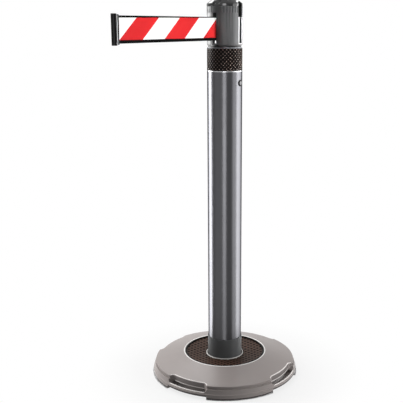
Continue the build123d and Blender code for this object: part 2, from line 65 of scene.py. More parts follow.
near = 0.1  # millimetres within which a place counts as the one that is looked for
past = 1.0  # millimetres that a cutter goes on beyond what it cuts
facing = 0.9  # least share of its normal along an axis for a face to point that way
quarters = [0, 90, 180, 270]
sortFrom = (0.31, 0.17, 0.53)  # an odd place in metres, not equally far from matching corners of a piece
print("frame loaded,", len(nodes), "nodes")


# Modelling helpers
def deselect():
    if bpy.context.object and bpy.context.object.mode != "OBJECT":
        bpy.ops.object.mode_set(mode="OBJECT")
    bpy.ops.object.select_all(action="DESELECT")


def choose(piece):
    deselect()
    bpy.context.view_layer.objects.active = piece
    piece.select_set(True)


def edit(piece):
    choose(piece)
    bpy.ops.object.mode_set(mode="EDIT")
    bpy.ops.mesh.select_mode(type="VERT")
    bpy.ops.mesh.select_all(action="SELECT")


def finishEdit():
    bpy.ops.object.mode_set(mode="OBJECT")


def pick(piece, kind, test):  # selects verts, edges or faces by a test, in edit mode
    bpy.ops.mesh.select_mode(type=kind)
    bpy.ops.mesh.select_all(action="DESELECT")
    shape = bmesh.from_edit_mesh(piece.data)
    parts = {"VERT": shape.verts, "EDGE": shape.edges, "FACE": shape.faces}[kind]
    for part in [part for part in parts if test(part)]:
        part.select_set(True)
    bmesh.update_edit_mesh(piece.data)


def middleOf(edge):  # in millimetres
    return (edge.verts[0].co + edge.verts[1].co) / 2 / mm


def centreOf(face):  # in millimetres
    return face.calc_center_median() / mm


def isUpright(face):
    return abs(face.normal.z) < 0.5  # within 30 degrees


def pull(x=0.0, y=0.0, z=0.0):  # extrudes what is selected and moves it, in millimetres
    bpy.ops.mesh.extrude_region_move(TRANSFORM_OT_translate={"value": (x * mm, y * mm, z * mm)})


def scaleBy(x, y, z, centre=(0, 0, 0)):
    bpy.ops.transform.resize(value=(x, y, z), center_override=[c * mm for c in centre])


def mergeAndTurnOut(piece, gap=0.01):  # merges doubles and turns every face outwards
    edit(piece)
    bpy.ops.mesh.remove_doubles(threshold=gap * mm)
    bpy.ops.mesh.select_all(action="SELECT")
    bpy.ops.mesh.normals_make_consistent(inside=False)
    finishEdit()


def named(name):  # the new primitive, with its place moved into its mesh
    piece = bpy.context.object
    piece.name = name
    piece.data.name = name
    bpy.ops.object.transform_apply(location=True, rotation=True, scale=True)
    return piece


def modify(piece, kind, **values):
    choose(piece)
    modifier = piece.modifiers.new(kind.title(), kind)
    for key, value in values.items():
        setattr(modifier, key, value)
    bpy.ops.object.modifier_apply(modifier=modifier.name)


def joined(pieces, name):
    deselect()
    for piece in pieces:
        piece.select_set(True)
    bpy.context.view_layer.objects.active = pieces[0]
    bpy.ops.object.join()
    return named(name)


def copies(piece, moves):  # one copy for each matrix, all joined in one piece; the first one goes
    made = []
    for move in moves:
        choose(piece)
        bpy.ops.object.duplicate()
        copy = bpy.context.object
        copy.matrix_world = move @ copy.matrix_world
        made.append(copy)
    name = piece.name
    bpy.data.objects.remove(piece)
    return joined(made, name)


def turns(angles):
    return [Matrix.Rotation(math.radians(angle), 4, "Z") for angle in angles]


def sortParts(piece):  # a Boolean's order of parts can differ between runs, and later steps go by it
    cursor = bpy.context.scene.cursor
    cursor.location = sortFrom
    edit(piece)
    bpy.ops.mesh.sort_elements(type="CURSOR_DISTANCE", elements={"VERT", "EDGE", "FACE"})
    finishEdit()
    cursor.location = (0, 0, 0)


def combine(piece, other, operation):  # a Boolean with another piece, which goes
    modify(piece, "BOOLEAN", object=other, operation=operation, solver="EXACT")
    bpy.data.objects.remove(other)
    sortParts(piece)


def cutAway(piece, cutter):
    combine(piece, cutter, "DIFFERENCE")


def smooth(piece, angle=35):
    choose(piece)
    bpy.ops.object.shade_smooth_by_angle(angle=math.radians(angle), keep_sharp_edges=True)


def softened(corners, steps=4):  # outline corners (across, up, radius), each turned into an arc
    outline = []
    for index, (across, up, radius) in enumerate(corners):
        if radius == 0:
            outline.append((across, up))
            continue
        here = Vector((across, up))
        before = (Vector(corners[index - 1][:2]) - here).normalized()
        after = (Vector(corners[(index + 1) % len(corners)][:2]) - here).normalized()
        half = before.angle(after) / 2
        centre = here + (before + after).normalized() * (radius / math.sin(half))
        start = here + before * (radius / math.tan(half)) - centre
        end = here + after * (radius / math.tan(half)) - centre
        turn = start.angle_signed(end)
        for step in range(steps + 1):
            spoke = start.copy()
            spoke.rotate(Matrix.Rotation(-turn * step / steps, 2))
            outline.append(tuple(centre + spoke))
    return outline


def lowAndHigh(corners):
    heights = [corner[1] for corner in corners]
    return min(heights), max(heights)


def turned(name, outline, steps):  # a ring pulled and scaled along a closed outline of (radius, height)
    deselect()
    radius, height = outline[0]
    bpy.ops.mesh.primitive_circle_add(vertices=steps, radius=radius * mm, location=(0, 0, height * mm))
    piece = named(name)
    edit(piece)
    for nextRadius, nextHeight in outline[1:] + outline[:1]:
        pull(z=nextHeight - height)
        scaleBy(nextRadius / radius, nextRadius / radius, 1)
        radius, height = nextRadius, nextHeight
    mergeAndTurnOut(piece)
    return piece


def block(name, x, y, z):  # a box between two places on each axis
    deselect()
    middle = [(low + high) / 2 * mm for low, high in (x, y, z)]
    size = [(high - low) * mm for low, high in (x, y, z)]
    bpy.ops.mesh.primitive_cube_add(size=1, location=middle, scale=size)
    return named(name)


def rod(name, sides, radius, length, middle, rotation=(0, 0, 0)):
    deselect()
    bpy.ops.mesh.primitive_cylinder_add(vertices=sides, radius=radius * mm, depth=length * mm,
                                        location=[place * mm for place in middle], rotation=rotation)
    return named(name)


def markFaces(piece, value, mark):  # writes how much painted highlight or painted shade the selected faces get, for their finish
    shape = bmesh.from_edit_mesh(piece.data)
    layer = shape.faces.layers.float.get(mark) or shape.faces.layers.float.new(mark)
    for face in shape.faces:
        if face.select:
            face[layer] = value
    bmesh.update_edit_mesh(piece.data)


def markWhere(piece, test, value, mark):  # marks the faces whose centres pass a test
    edit(piece)
    pick(piece, "FACE", lambda face: test(centreOf(face)))
    markFaces(piece, value, mark)
    finishEdit()


def softenEdges(piece, test, width, segments=2, angle=40, paintedHighlight=0.0):  # rounds sharp edges that pass a test
    weld = width * mm / 20
    edit(piece)
    bpy.ops.mesh.remove_doubles(threshold=weld)
    pick(piece, "EDGE", lambda edge: len(edge.link_faces) == 2 and test(middleOf(edge))
         and edge.calc_face_angle(0) > math.radians(angle))
    bpy.ops.mesh.bevel(offset=width * mm, segments=segments, affect="EDGES", clamp_overlap=False)
    # the new rounded faces can get a painted highlight
    if paintedHighlight:
        markFaces(piece, paintedHighlight, "paintedHighlight")
    bpy.ops.mesh.select_all(action="SELECT")
    bpy.ops.mesh.remove_doubles(threshold=weld)
    finishEdit()


# Node helpers
def addNode(tree, kind, links=(), **values):
    node = tree.nodes.new("ShaderNode" + kind)
    for key, value in values.items():
        if key in node.bl_rna.properties:
            setattr(node, key, value)
        else:
            node.inputs[key.replace("_", " ")].default_value = value
    for socket, source in links:
        tree.links.new(source, node.inputs[socket])
    return node


def compute(tree, operation, first, second=0.0):
    node = addNode(tree, "Math", operation=operation)
    for index, value in enumerate((first, second)):
        if isinstance(value, (int, float)):
            node.inputs[index].default_value = value
        else:
            tree.links.new(value, node.inputs[index])
    return node.outputs[0]


def mixColour(tree, share, first, second, blend="MIX"):
    mix = addNode(tree, "Mix", data_type="RGBA", blend_type=blend)
    tree.links.new(share, mix.inputs["Factor"])
    targets = [socket for socket in mix.inputs if socket.type == "RGBA"]
    for target, value in zip(targets, (first, second)):
        if isinstance(value, tuple):
            target.default_value = (*value, 1)
        else:
            tree.links.new(value, target)
    return [socket for socket in mix.outputs if socket.type == "RGBA"][0]


def objectPlace(tree):
    return addNode(tree, "TexCoord").outputs["Object"]


def placeAxes(tree):  # object coordinates, axis by axis
    return addNode(tree, "SeparateXYZ", [("Vector", objectPlace(tree))]).outputs


def radiusAndHeight(tree):  # distance from the pole's axis, and height
    axes = placeAxes(tree)
    flat = addNode(tree, "CombineXYZ", [("X", axes["X"]), ("Y", axes["Y"])])
    radius = addNode(tree, "VectorMath", [("Vector", flat.outputs[0])], operation="LENGTH")
    return radius.outputs["Value"], axes["Z"]


def newGroup(name, inputs, outputs):
    group = bpy.data.node_groups.new(name, "ShaderNodeTree")
    for label, value in inputs.items():
        socket = group.interface.new_socket(label, in_out="INPUT", socket_type="NodeSocketFloat")
        socket.default_value = value
    for label in outputs:
        group.interface.new_socket(label, in_out="OUTPUT", socket_type="NodeSocketFloat")
    return group, group.nodes.new("NodeGroupInput").outputs, group.nodes.new("NodeGroupOutput").inputs


def placed(tree, group, **values):
    node = tree.nodes.new("ShaderNodeGroup")
    node.node_tree = group
    for key, value in values.items():
        node.inputs[key].default_value = value
    return node.outputs


# Shared effects
def makeGrainGroup():  # moulded skin: fine grain for bump, slow patches for colour and gloss
    group, given, result = newGroup("mouldedGrain", {"Grain": 900.0, "Patch": 14.0}, ["Height", "Patches"])
    place = objectPlace(group)
    grain = addNode(group, "TexNoise", [("Vector", place), ("Scale", given["Grain"])], Detail=3.0)
    patch = addNode(group, "TexNoise", [("Vector", place), ("Scale", given["Patch"])], Detail=4.0)
    group.links.new(grain.outputs["Fac"], result["Height"])
    spread = addNode(group, "MapRange", [("Value", patch.outputs["Fac"])], From_Min=0.35, From_Max=0.65)
    group.links.new(spread.outputs["Result"], result["Patches"])
    return group


def makeEdgeHighlightGroup():  # painted highlight on edges, where the surface turns outwards
    group, given, result = newGroup("paintedEdgeHighlights", {"Start": 0.51, "Full": 0.58}, ["Mask"])
    bend = addNode(group, "NewGeometry").outputs["Pointiness"]
    mask = addNode(group, "MapRange", [("Value", bend), ("From Min", given["Start"]),
                                       ("From Max", given["Full"])])
    group.links.new(mask.outputs["Result"], result["Mask"])
    return group


def makeStreakGroup():  # fine lines of brushed metal, long on two axes and close on the third
    group, given, result = newGroup("brushedLines", {"Across": 1500.0, "Along": 4.0}, ["Height"])
    axes = placeAxes(group)
    stretched = addNode(group, "CombineXYZ")
    for axis, size in (("X", "Along"), ("Y", "Along"), ("Z", "Across")):
        group.links.new(compute(group, "MULTIPLY", axes[axis], given[size]), stretched.inputs[axis])
    lines = addNode(group, "TexNoise", [("Vector", stretched.outputs[0])], Scale=1.0, Detail=2.0)
    group.links.new(lines.outputs["Fac"], result["Height"])
    return group


def makeSunkGroup():  # ribs against pits: the level is height, or distance from the axis, less a slope
    group, given, result = newGroup("sunkPattern", {"ByRadius": 0.0, "Slope": 0.0, "Low": 0.0, "High": 1.0,
                                                    "Inner": 0.0, "Outer": 1.0}, ["Ribs"])
    radius, height = radiusAndHeight(group)
    further = compute(group, "SUBTRACT", radius, height)
    level = compute(group, "ADD", height, compute(group, "MULTIPLY", further, given["ByRadius"]))
    level = compute(group, "SUBTRACT", level, compute(group, "MULTIPLY", radius, given["Slope"]))
    ribs = addNode(group, "MapRange", [("Value", level), ("From Min", given["Low"]),
                                       ("From Max", given["High"])])
    inside = compute(group, "MULTIPLY", compute(group, "LESS_THAN", radius, given["Outer"]),
                     compute(group, "GREATER_THAN", radius, given["Inner"]))
    group.links.new(compute(group, "MULTIPLY", ribs.outputs["Result"], inside), result["Ribs"])
    return group


def makeRingGroup():  # a band round the pole's axis between two radii or heights, with soft sides
    group, given, result = newGroup("ringBand", {"ByHeight": 0.0, "Inner": 0.0, "Outer": 1.0, "Soft": 0.001},
                                    ["Mask"])
    radius, height = radiusAndHeight(group)
    further = compute(group, "SUBTRACT", height, radius)
    level = compute(group, "ADD", radius, compute(group, "MULTIPLY", further, given["ByHeight"]))
    inwards = compute(group, "SUBTRACT", level, given["Inner"])
    outwards = compute(group, "SUBTRACT", given["Outer"], level)
    share = compute(group, "DIVIDE", compute(group, "MINIMUM", inwards, outwards), given["Soft"])
    mask = addNode(group, "Clamp", [("Value", share)])
    group.links.new(mask.outputs[0], result["Mask"])
    return group


def makeKnotGroup():  # the crossings of a knurl's ribs, midway between its pits
    group, given, result = newGroup("knurlKnots", {"Round": 30.0, "Rise": 0.01, "Low": 0.0}, ["Knots"])
    axes = placeAxes(group)
    angle = compute(group, "MULTIPLY", compute(group, "ARCTAN2", axes["Y"], axes["X"]), given["Round"])
    cells = compute(group, "DIVIDE", compute(group, "SUBTRACT", axes["Z"], given["Low"]), given["Rise"])
    wave = compute(group, "MULTIPLY", compute(group, "COSINE", angle),
                   compute(group, "COSINE", compute(group, "MULTIPLY", cells, math.tau)))
    knots = addNode(group, "MapRange", [("Value", wave)], From_Min=-0.35, From_Max=-0.9)
    group.links.new(knots.outputs["Result"], result["Knots"])
    return group


def makeWeaveGroup():  # plain weave: rows of threads that pass over and under each other
    group, given, result = newGroup("webbingWeave", {"Warp": 1.0, "Weft": 1.0}, ["Height", "Gaps"])
    axes = placeAxes(group)
    waves = []
    for axis, label in (("X", "Weft"), ("Z", "Warp")):
        pitch = compute(group, "DIVIDE", math.pi / mm, given[label])
        waves.append(compute(group, "SINE", compute(group, "MULTIPLY", axes[axis], pitch)))
    crossing = compute(group, "ABSOLUTE", compute(group, "MULTIPLY", *waves))
    group.links.new(crossing, result["Height"])
    gaps = addNode(group, "MapRange", [("Value", crossing)], From_Max=0.35, To_Min=1.0, To_Max=0.0)
    group.links.new(gaps.outputs["Result"], result["Gaps"])
    return group


grainGroup = makeGrainGroup()
edgeHighlightGroup = makeEdgeHighlightGroup()
streakGroup = makeStreakGroup()
sunkGroup = makeSunkGroup()
ringGroup = makeRingGroup()
knotGroup = makeKnotGroup()
weaveGroup = makeWeaveGroup()
print("shared effects made")


# Finishes
def newMaterial(name, roughness, metallic=0.0, **sockets):
    material = bpy.data.materials.new(name)
    material.use_nodes = True
    shader = material.node_tree.nodes["Principled BSDF"]
    shader.inputs["Roughness"].default_value = roughness
    shader.inputs["Metallic"].default_value = metallic
    for key, value in sockets.items():
        shader.inputs[key.replace("_", " ")].default_value = value
    return material, material.node_tree, shader


def addBump(tree, shader, height, look):
    bump = addNode(tree, "Bump", [("Height", height)], Strength=look["bump"], Distance=look["depth"] * mm)
    tree.links.new(bump.outputs["Normal"], shader.inputs["Normal"])


def addGloss(tree, shader, patches, gloss):
    low, high = gloss
    spread = addNode(tree, "MapRange", [("Value", patches)], To_Min=low, To_Max=high)
    tree.links.new(spread.outputs["Result"], shader.inputs["Roughness"])


def ringed(tree, look, colour):  # colour with the bands that a look names, in millimetres
    for ring in look.get("rings", []):
        place = {key: ring[key.lower()] * mm for key in ("Inner", "Outer", "Soft")}
        band = placed(tree, ringGroup, ByHeight=ring.get("byHeight", 0.0), **place)
        colour = mixColour(tree, band["Mask"], colour, ring["colour"])
    return colour


def mouldedFinish(name, look):  # plastic, rubber or paint with grain and patches, and the painted highlights and painted shade that a look names
    material, tree, shader = newMaterial(name, look["gloss"][0], Coat_Weight=look.get("coat", 0.0),
                                         Specular_IOR_Level=look.get("specular", 0.5))
    grain = placed(tree, grainGroup, Grain=look["grain"], Patch=look["patch"])
    colour = mixColour(tree, grain["Patches"], look["colour"], look["second"])
    # a paler colour on sharp edges: a painted highlight
    if "edge" in look:
        edges = placed(tree, edgeHighlightGroup, Start=look["edgeFrom"], Full=look["edgeTo"])
        colour = mixColour(tree, edges["Mask"], colour, look["edge"])
    # faces marked for a painted highlight, and faces marked for painted shade
    for mark in ("paintedHighlight", "shaded"):
        if mark in look:
            marked = addNode(tree, "Attribute", attribute_name=mark)
            colour = mixColour(tree, marked.outputs["Fac"], colour, look[mark])
    colour = ringed(tree, look, colour)
    # a paler colour on the knurl's crossings: a painted highlight
    if "knotHighlight" in look:
        knots = placed(tree, knotGroup, **look["knots"])
        colour = mixColour(tree, knots["Knots"], colour, look["knotHighlight"])
    # a near-black colour below the level that the look gives, and outside its radii: painted shade in pits
    # and grooves
    if "sunkShade" in look:
        sunk = placed(tree, sunkGroup, **look["sunk"])
        colour = mixColour(tree, sunk["Ribs"], look["sunkShade"], colour)
    tree.links.new(colour, shader.inputs["Base Color"])
    addGloss(tree, shader, grain["Patches"], look["gloss"])
    addBump(tree, shader, grain["Height"], look)
    return material


def brushedFinish(name, look):  # metal with fine lines
    material, tree, shader = newMaterial(name, look["gloss"][0], 1.0, **look.get("sockets", {}))
    lines = placed(tree, streakGroup, Across=look["across"], Along=look["along"])
    grain = placed(tree, grainGroup, Grain=look["grain"], Patch=look["patch"])
    colour = ringed(tree, look, mixColour(tree, lines["Height"], look["colour"], look["second"]))
    tree.links.new(colour, shader.inputs["Base Color"])
    addGloss(tree, shader, grain["Patches"], look["gloss"])
    addBump(tree, shader, lines["Height"], look)
    return material


def webbingFinish(name, look):  # slanted stripes between dark borders, woven
    material, tree, shader = newMaterial(name, look["roughness"], Specular_IOR_Level=0.0)
    axes = placeAxes(tree)
    across, up = (compute(tree, "DIVIDE", axes[axis], mm) for axis in ("X", "Z"))
    middle = (look["low"] + look["high"]) / 2
    lean = compute(tree, "MULTIPLY", compute(tree, "SUBTRACT", up, middle), look["slant"])
    along = compute(tree, "SUBTRACT", compute(tree, "SUBTRACT", lean, across), look["edgeAt"])
    part = compute(tree, "FRACT", compute(tree, "DIVIDE", along, 2 * look["stripe"]))
    colour = mixColour(tree, compute(tree, "LESS_THAN", part, 0.5), look["white"], look["red"])
    inLow = compute(tree, "LESS_THAN", up, look["low"] + look["lowBorder"])
    border = addNode(tree, "MapRange", [("Value", across)], From_Min=look["clip"], From_Max=look["head"],
                     To_Min=look["clipBorder"], To_Max=look["headBorder"])
    inHigh = compute(tree, "GREATER_THAN", compute(tree, "ADD", up, border.outputs["Result"]), look["high"])
    colour = mixColour(tree, compute(tree, "MAXIMUM", inLow, inHigh), colour, look["border"])
    weave = placed(tree, weaveGroup, Warp=look["warp"], Weft=look["weft"])
    gaps = compute(tree, "MULTIPLY", weave["Gaps"], look["gapShare"])
    colour = mixColour(tree, gaps, colour, look["gapShade"], "MULTIPLY")
    tree.links.new(colour, shader.inputs["Base Color"])
    addBump(tree, shader, weave["Height"], look)
    return material


def grey(tone):
    return (tone, tone, tone)


finishes = {
    "base_taupe": {
        "colour": (0.31, 0.277, 0.266), "second": (0.292, 0.261, 0.251), "gloss": (0.34, 0.4),
        "grain": 1400, "patch": 9, "bump": 0.12, "depth": 0.2, "specular": 0.25,
        # the pale mark colour is a painted highlight on the hand-holds' rounded rims, rail edges and curtain
        # edges; the near-black one is painted shade on the curtains and along the foot
        "paintedHighlight": (0.8, 0.76, 0.74), "shaded": (0.02, 0.017, 0.019),
        # a pale ring round the crown's edge: a painted highlight
        "rings": [{"inner": 97.9, "outer": 101.4, "soft": 0.5, "colour": (0.86, 0.84, 0.82)},
                  # a pale ring on the collar round the boot: a painted highlight
                  {"inner": 43.5, "outer": 45.7, "soft": 0.2, "colour": (0.62, 0.6, 0.58)},
                  # a near-black ring inside the collar: painted shade in the gap by the boot
                  {"inner": 41.0, "outer": 43.4, "soft": 0.1, "colour": grey(0.01)}]},
    "cast_ballast": {
        "colour": (0.06, 0.06, 0.062), "second": (0.085, 0.082, 0.08), "gloss": (0.6, 0.75),
        "grain": 420, "patch": 20, "bump": 0.6, "depth": 0.8},
    "floor_rubber": {
        "colour": grey(0.022), "second": (0.035, 0.034, 0.033), "gloss": (0.7, 0.85),
        "grain": 1100, "patch": 30, "bump": 0.4, "depth": 0.2},
    "mat_brown": {
        "colour": (0.06, 0.033, 0.023), "second": (0.077, 0.043, 0.031), "gloss": (0.42, 0.5),
        "grain": 1500, "patch": 25, "bump": 0.3, "depth": 0.2, "specular": 0.08,
        # the near-black pit colour is painted shade in the diamond pits; it also covers the field's inner
        # edge and the raised border
        "sunkShade": (0.006, 0.005, 0.004),
        "sunk": {"Slope": 0.08555, "Low": 0.0383, "High": 0.0389, "Inner": 0.0475, "Outer": 0.0934}},
    "boot_grey": {
        "colour": (0.117, 0.119, 0.122), "second": (0.131, 0.134, 0.136), "gloss": (0.55, 0.65),
        "grain": 1700, "patch": 25, "bump": 0.35, "depth": 0.2, "specular": 0.05,
        # the pale edge colour is a painted highlight on sharp edges
        "edge": (0.16, 0.17, 0.175), "edgeFrom": 0.51, "edgeTo": 0.58,
        # a near-black ring on the boot's foot flange: painted shade in the gap by the collar
        "rings": [{"inner": 41.6, "outer": 45.0, "soft": 0.1, "colour": grey(0.004)}]},
    "band_knurl": {
        "colour": (0.03, 0.02, 0.016), "second": (0.042, 0.027, 0.021), "gloss": (0.45, 0.55),
        "grain": 1500, "patch": 40, "bump": 0.2, "depth": 0.1, "specular": 0.03,
        # the pale knot colour is a painted highlight on the knurl's crossings, and the near-black pit colour
        # is painted shade in its pits
        "knotHighlight": (0.3, 0.235, 0.205), "knots": {"Round": 30.0, "Rise": 0.0084, "Low": 0.731},
        "sunkShade": (0.003, 0.002, 0.002), "sunk": {"ByRadius": 1.0, "Low": 0.0392, "High": 0.0397}},
    "adapter_grey": {
        "colour": (0.26, 0.27, 0.29), "second": (0.23, 0.24, 0.26), "gloss": (0.4, 0.5),
        "grain": 1500, "patch": 30, "bump": 0.2, "depth": 0.1, "specular": 0.1,
        # the near-black pit colour is painted shade on the recessed ring under the head
        "sunkShade": grey(0.008), "sunk": {"ByRadius": 1.0, "Low": 0.0382, "High": 0.0390}},
    "head_grey": {
        "colour": (0.105, 0.106, 0.109), "second": (0.12, 0.121, 0.124), "gloss": (0.34, 0.42),
        "grain": 1800, "patch": 22, "bump": 0.2, "depth": 0.1, "specular": 0.1,
        # the pale edge colour is a painted highlight on sharp edges, and the near-black shaded colour is
        # painted shade on the sides of the belt's slot
        "edge": grey(0.2), "edgeFrom": 0.51, "edgeTo": 0.6, "shaded": grey(0.004),
        # a pale ring on the slot frames: a painted highlight
        "rings": [{"inner": 40.25, "outer": 42.0, "soft": 0.2, "colour": (0.8, 0.8, 0.81)}]},
    "channel_black": {
        "colour": grey(0.006), "second": grey(0.01), "gloss": (0.45, 0.6),
        "grain": 1600, "patch": 30, "bump": 0.2, "depth": 0.1, "specular": 0.25},
    "cap_black": {
        "colour": grey(0.005), "second": grey(0.009), "gloss": (0.07, 0.11),
        "grain": 1200, "patch": 25, "bump": 0.03, "depth": 0.1, "specular": 0.3, "coat": 0.15},
    "clip_black": {
        "colour": (0.008, 0.008, 0.009), "second": (0.014, 0.014, 0.015), "gloss": (0.2, 0.3),
        "grain": 1600, "patch": 40, "bump": 0.15, "depth": 0.1, "specular": 0.03,
        # the pale edge and mark colours are painted highlights on sharp edges, the neck and the groove
        "edge": (0.03, 0.03, 0.032), "edgeFrom": 0.515, "edgeTo": 0.6, "paintedHighlight": (0.5, 0.5, 0.52)},
    "reel_plastic": {
        "colour": (0.68, 0.66, 0.6), "second": (0.6, 0.585, 0.54), "gloss": (0.4, 0.5),
        "grain": 1500, "patch": 30, "bump": 0.15, "depth": 0.1},
    "brake_lining": {
        "colour": (0.09, 0.06, 0.045), "second": (0.12, 0.08, 0.06), "gloss": (0.7, 0.85),
        "grain": 900, "patch": 60, "bump": 0.5, "depth": 0.2},
}
bareMetal = {
    "gloss": (0.25, 0.35), "across": 2500, "along": 60, "grain": 900, "patch": 50, "bump": 0.05,
    "depth": 0.05,
}
bareSteel = {**bareMetal, "colour": (0.5, 0.5, 0.51), "second": grey(0.58)}
brushedFinishes = {
    "tube_metal": {
        "colour": (0.05, 0.05, 0.053), "second": (0.06, 0.06, 0.064), "gloss": (0.34, 0.38),
        "across": 2600, "along": 30, "grain": 900, "patch": 12, "bump": 0.03, "depth": 0.05,
        "sockets": {"Anisotropic": 0.9, "Anisotropic_Rotation": 0.25, "Specular_Tint": (0.4, 0.4, 0.4, 1)},
        # a pale band at the tube's top edge: a painted highlight
        "rings": [{"byHeight": 1.0, "inner": 729.0, "outer": 733.0, "soft": 0.3,
                   "colour": (0.34, 0.34, 0.35)}]},
    "steel": bareSteel,
    # the pin is near-black from the belt's top upwards: painted shade where it stands in the slot
    "pinWithPaintedShade": {
        **bareSteel,
        "rings": [{"byHeight": 1.0, "inner": 845.0, "outer": 880.0, "soft": 0.3, "colour": grey(0.008)}]},
    "bush_brass": {**bareMetal, "colour": (0.65, 0.48, 0.2), "second": (0.72, 0.54, 0.25)},
}
webbingSet = {  # the stripes rise towards the head
    "stripe": 73.3, "edgeAt": 286.1, "slant": 1.36, "low": 797.0, "high": 847.0, "clip": -389.5,
    "head": -40.0, "lowBorder": 6.2, "clipBorder": 4.0, "headBorder": 1.8, "red": (0.68, 0.029, 0.031),
    "white": (0.93, 0.92, 0.91), "border": grey(0.008), "warp": 1.3, "weft": 0.9, "gapShade": grey(0.6),
    "gapShare": 0.35, "bump": 0.5, "depth": 0.15, "roughness": 0.8,
}
materials = {name: mouldedFinish(name, look) for name, look in finishes.items()}
materials.update({name: brushedFinish(name, look) for name, look in brushedFinishes.items()})
materials["belt_webbing"] = webbingFinish("belt_webbing", webbingSet)
print("finishes made:", len(materials))

for subpart in frame["record"]["subparts"]:  # CAD nodes take the finish of their slot
    mesh = nodes[subpart["node"]].data
    mesh.materials.clear()
    mesh.materials.append(materials[subpart["material_slot"]])
# the guide pin's finish has painted shade on its upper end
nodes["guide_pin"].data.materials[0] = materials["pinWithPaintedShade"]
print("frame nodes dressed")


def dress(piece, finish, stoodFor):
    piece.data.materials.clear()
    piece.data.materials.append(materials[finish])
    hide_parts(stoodFor)
    return piece


# Base shell
baseSet = {
    "steps": 180, "edge": 1.6, "edgeWear": 1.0,
    "outline": [  # radius, height, corner radius
        (43.0, 24.0, 0), (43.0, 44.5, 0.7), (45.4, 44.5, 0.7), (45.4, 40.0, 0), (98.0, 44.5, 0),
        (98.0, 50.0, 0.8), (100.5, 50.0, 2.0), (148.0, 37.107, 0), (170.5, 31.0, 1.5), (168.5, 23.2, 0.4),
        (172.5, 23.2, 0.8), (174.5, 13.5, 0.6), (176.0, 12.0, 0.6), (176.0, 0.3, 0.8), (146.0, 0.3, 0.5),
        (146.0, 33.6, 1.0), (98.0, 36.0, 0), (49.4, 36.0, 0), (49.4, 24.0, 0)],
    # the four hand-holds, and how far their cutters reach
    "turn": -2.0, "span": 36.0, "sweep": 8, "corner": 11.0, "cornerSteps": 6, "cornerAngle": 60,
    "floor": -5.0, "roof": 60.0, "outside": 192.0, "slack": 0.5,
    "gripIn": 150.0, "gripEdge": 161.0, "gripOut": 162.0, "gapCorner": 5.5, "gapRoof": 18.5,
    "rimFrom": 160.0, "rimTo": 169.1, "rimLow": 29.0,
    # the rail in front of each, its rounded ends and its groove
    "railLow": 6.2, "railHigh": 16.0, "railEdge": 173.0, "railRound": 7.0,
    "roundIn": 154.0, "roundOut": 196.0, "roundSink": 3.0, "roundGap": 0.05, "roundSides": 48,
    "groove": (161.0, 172.2), "grooveLow": 10.0, "grooveSpan": 33.0, "grooveCorner": 3.0,
    # painted shade on the curtains above the gaps and along the foot, with a painted highlight on the
    # curtains' lower edge
    "curtainEdge": 20.6, "curtainDepth": 0.8, "curtainShade": 0.4,
    "wallFrom": 174.0, "foot": 3.6, "railFoot": 9.4, "footShade": 0.85,
}
holdTurns = turns([quarter + baseSet["turn"] for quarter in quarters])


def sweptBlock(name, inner, outer, low, high, span, corner):  # a spun plane, one for each hand-hold
    deselect()
    bpy.ops.mesh.primitive_plane_add(size=1, rotation=(math.pi / 2, 0, 0))
    piece = bpy.context.object
    piece.scale = ((outer - inner) * mm, (high - low) * mm, 1)
    piece.location = ((outer + inner) / 2 * mm, 0, (high + low) / 2 * mm)
    piece = named(name)
    edit(piece)
    bpy.ops.mesh.spin(steps=baseSet["sweep"], angle=math.radians(span), center=(0, 0, 0), axis=(0, 0, 1))
    finishEdit()
    mean = sum((vertex.co for vertex in piece.data.vertices), Vector())
    piece.rotation_euler.z = -math.atan2(mean.y, mean.x)  # its middle comes onto the X axis
    choose(piece)
    named(name)
    mergeAndTurnOut(piece)
    edit(piece)
    pick(piece, "EDGE", lambda edge: abs(edge.verts[0].co.z - edge.verts[1].co.z) > mm
         and edge.calc_face_angle(0) > math.radians(baseSet["cornerAngle"]))
    bpy.ops.mesh.bevel(offset=corner * mm, segments=baseSet["cornerSteps"], affect="EDGES")
    finishEdit()
    return copies(piece, holdTurns)


def railRounds():  # what stays of the wall at both ends of each rail, with a hollow curve up from the rail
    curve, high, sink = baseSet["railRound"], baseSet["railHigh"], baseSet["roundSink"]
    inner, outer = baseSet["roundIn"], baseSet["roundOut"]
    fill = block("railRounds", (inner, outer), (-curve, sink), (high - sink, high + curve))
    middle = (inner, -curve, high + curve - baseSet["roundGap"])
    cutAway(fill, rod("railCurve", baseSet["roundSides"], curve, 2 * (outer - inner), middle,
                      (0, math.pi / 2, 0)))
    left, right = turns([baseSet["span"] / 2, -baseSet["span"] / 2])
    ends = [left, right @ Matrix.Scale(-1, 4, (0, 1, 0))]
    fills = copies(fill, [turn @ end for turn in holdTurns for end in ends])
    mergeAndTurnOut(fills)
    return fills


def offHold(place):  # degrees from the middle of the nearest hand-hold
    return abs((math.degrees(math.atan2(place.y, place.x)) - baseSet["turn"] + 45) % 90 - 45)


def onHandHoldEdge(place):  # the rim of an opening on the sloping top, and both edges of its rail
    radius, slack = place.to_2d().length, baseSet["slack"]
    onTop = place.z > baseSet["rimLow"] and baseSet["rimFrom"] < radius < baseSet["rimTo"]
    onRail = (abs(place.z - baseSet["railHigh"]) < near
              and not baseSet["gripOut"] + slack < radius < baseSet["railEdge"])
    return offHold(place) < baseSet["span"] / 2 + slack and (onTop or onRail)


def onCurtain(place):  # the wall between an opening's rim and the gap below it
    return (abs(place.to_2d().length - baseSet["gripEdge"]) < baseSet["curtainDepth"]
            and baseSet["gapRoof"] < place.z < baseSet["rimLow"])


def onOuterWall(place):
    return place.to_2d().length > baseSet["wallFrom"]


def onFoot(place):  # the lowest strip of the outer wall, and of the rails
    high = baseSet["railFoot"] if offHold(place) < baseSet["span"] / 2 else baseSet["foot"]
    return onOuterWall(place) and place.z < high


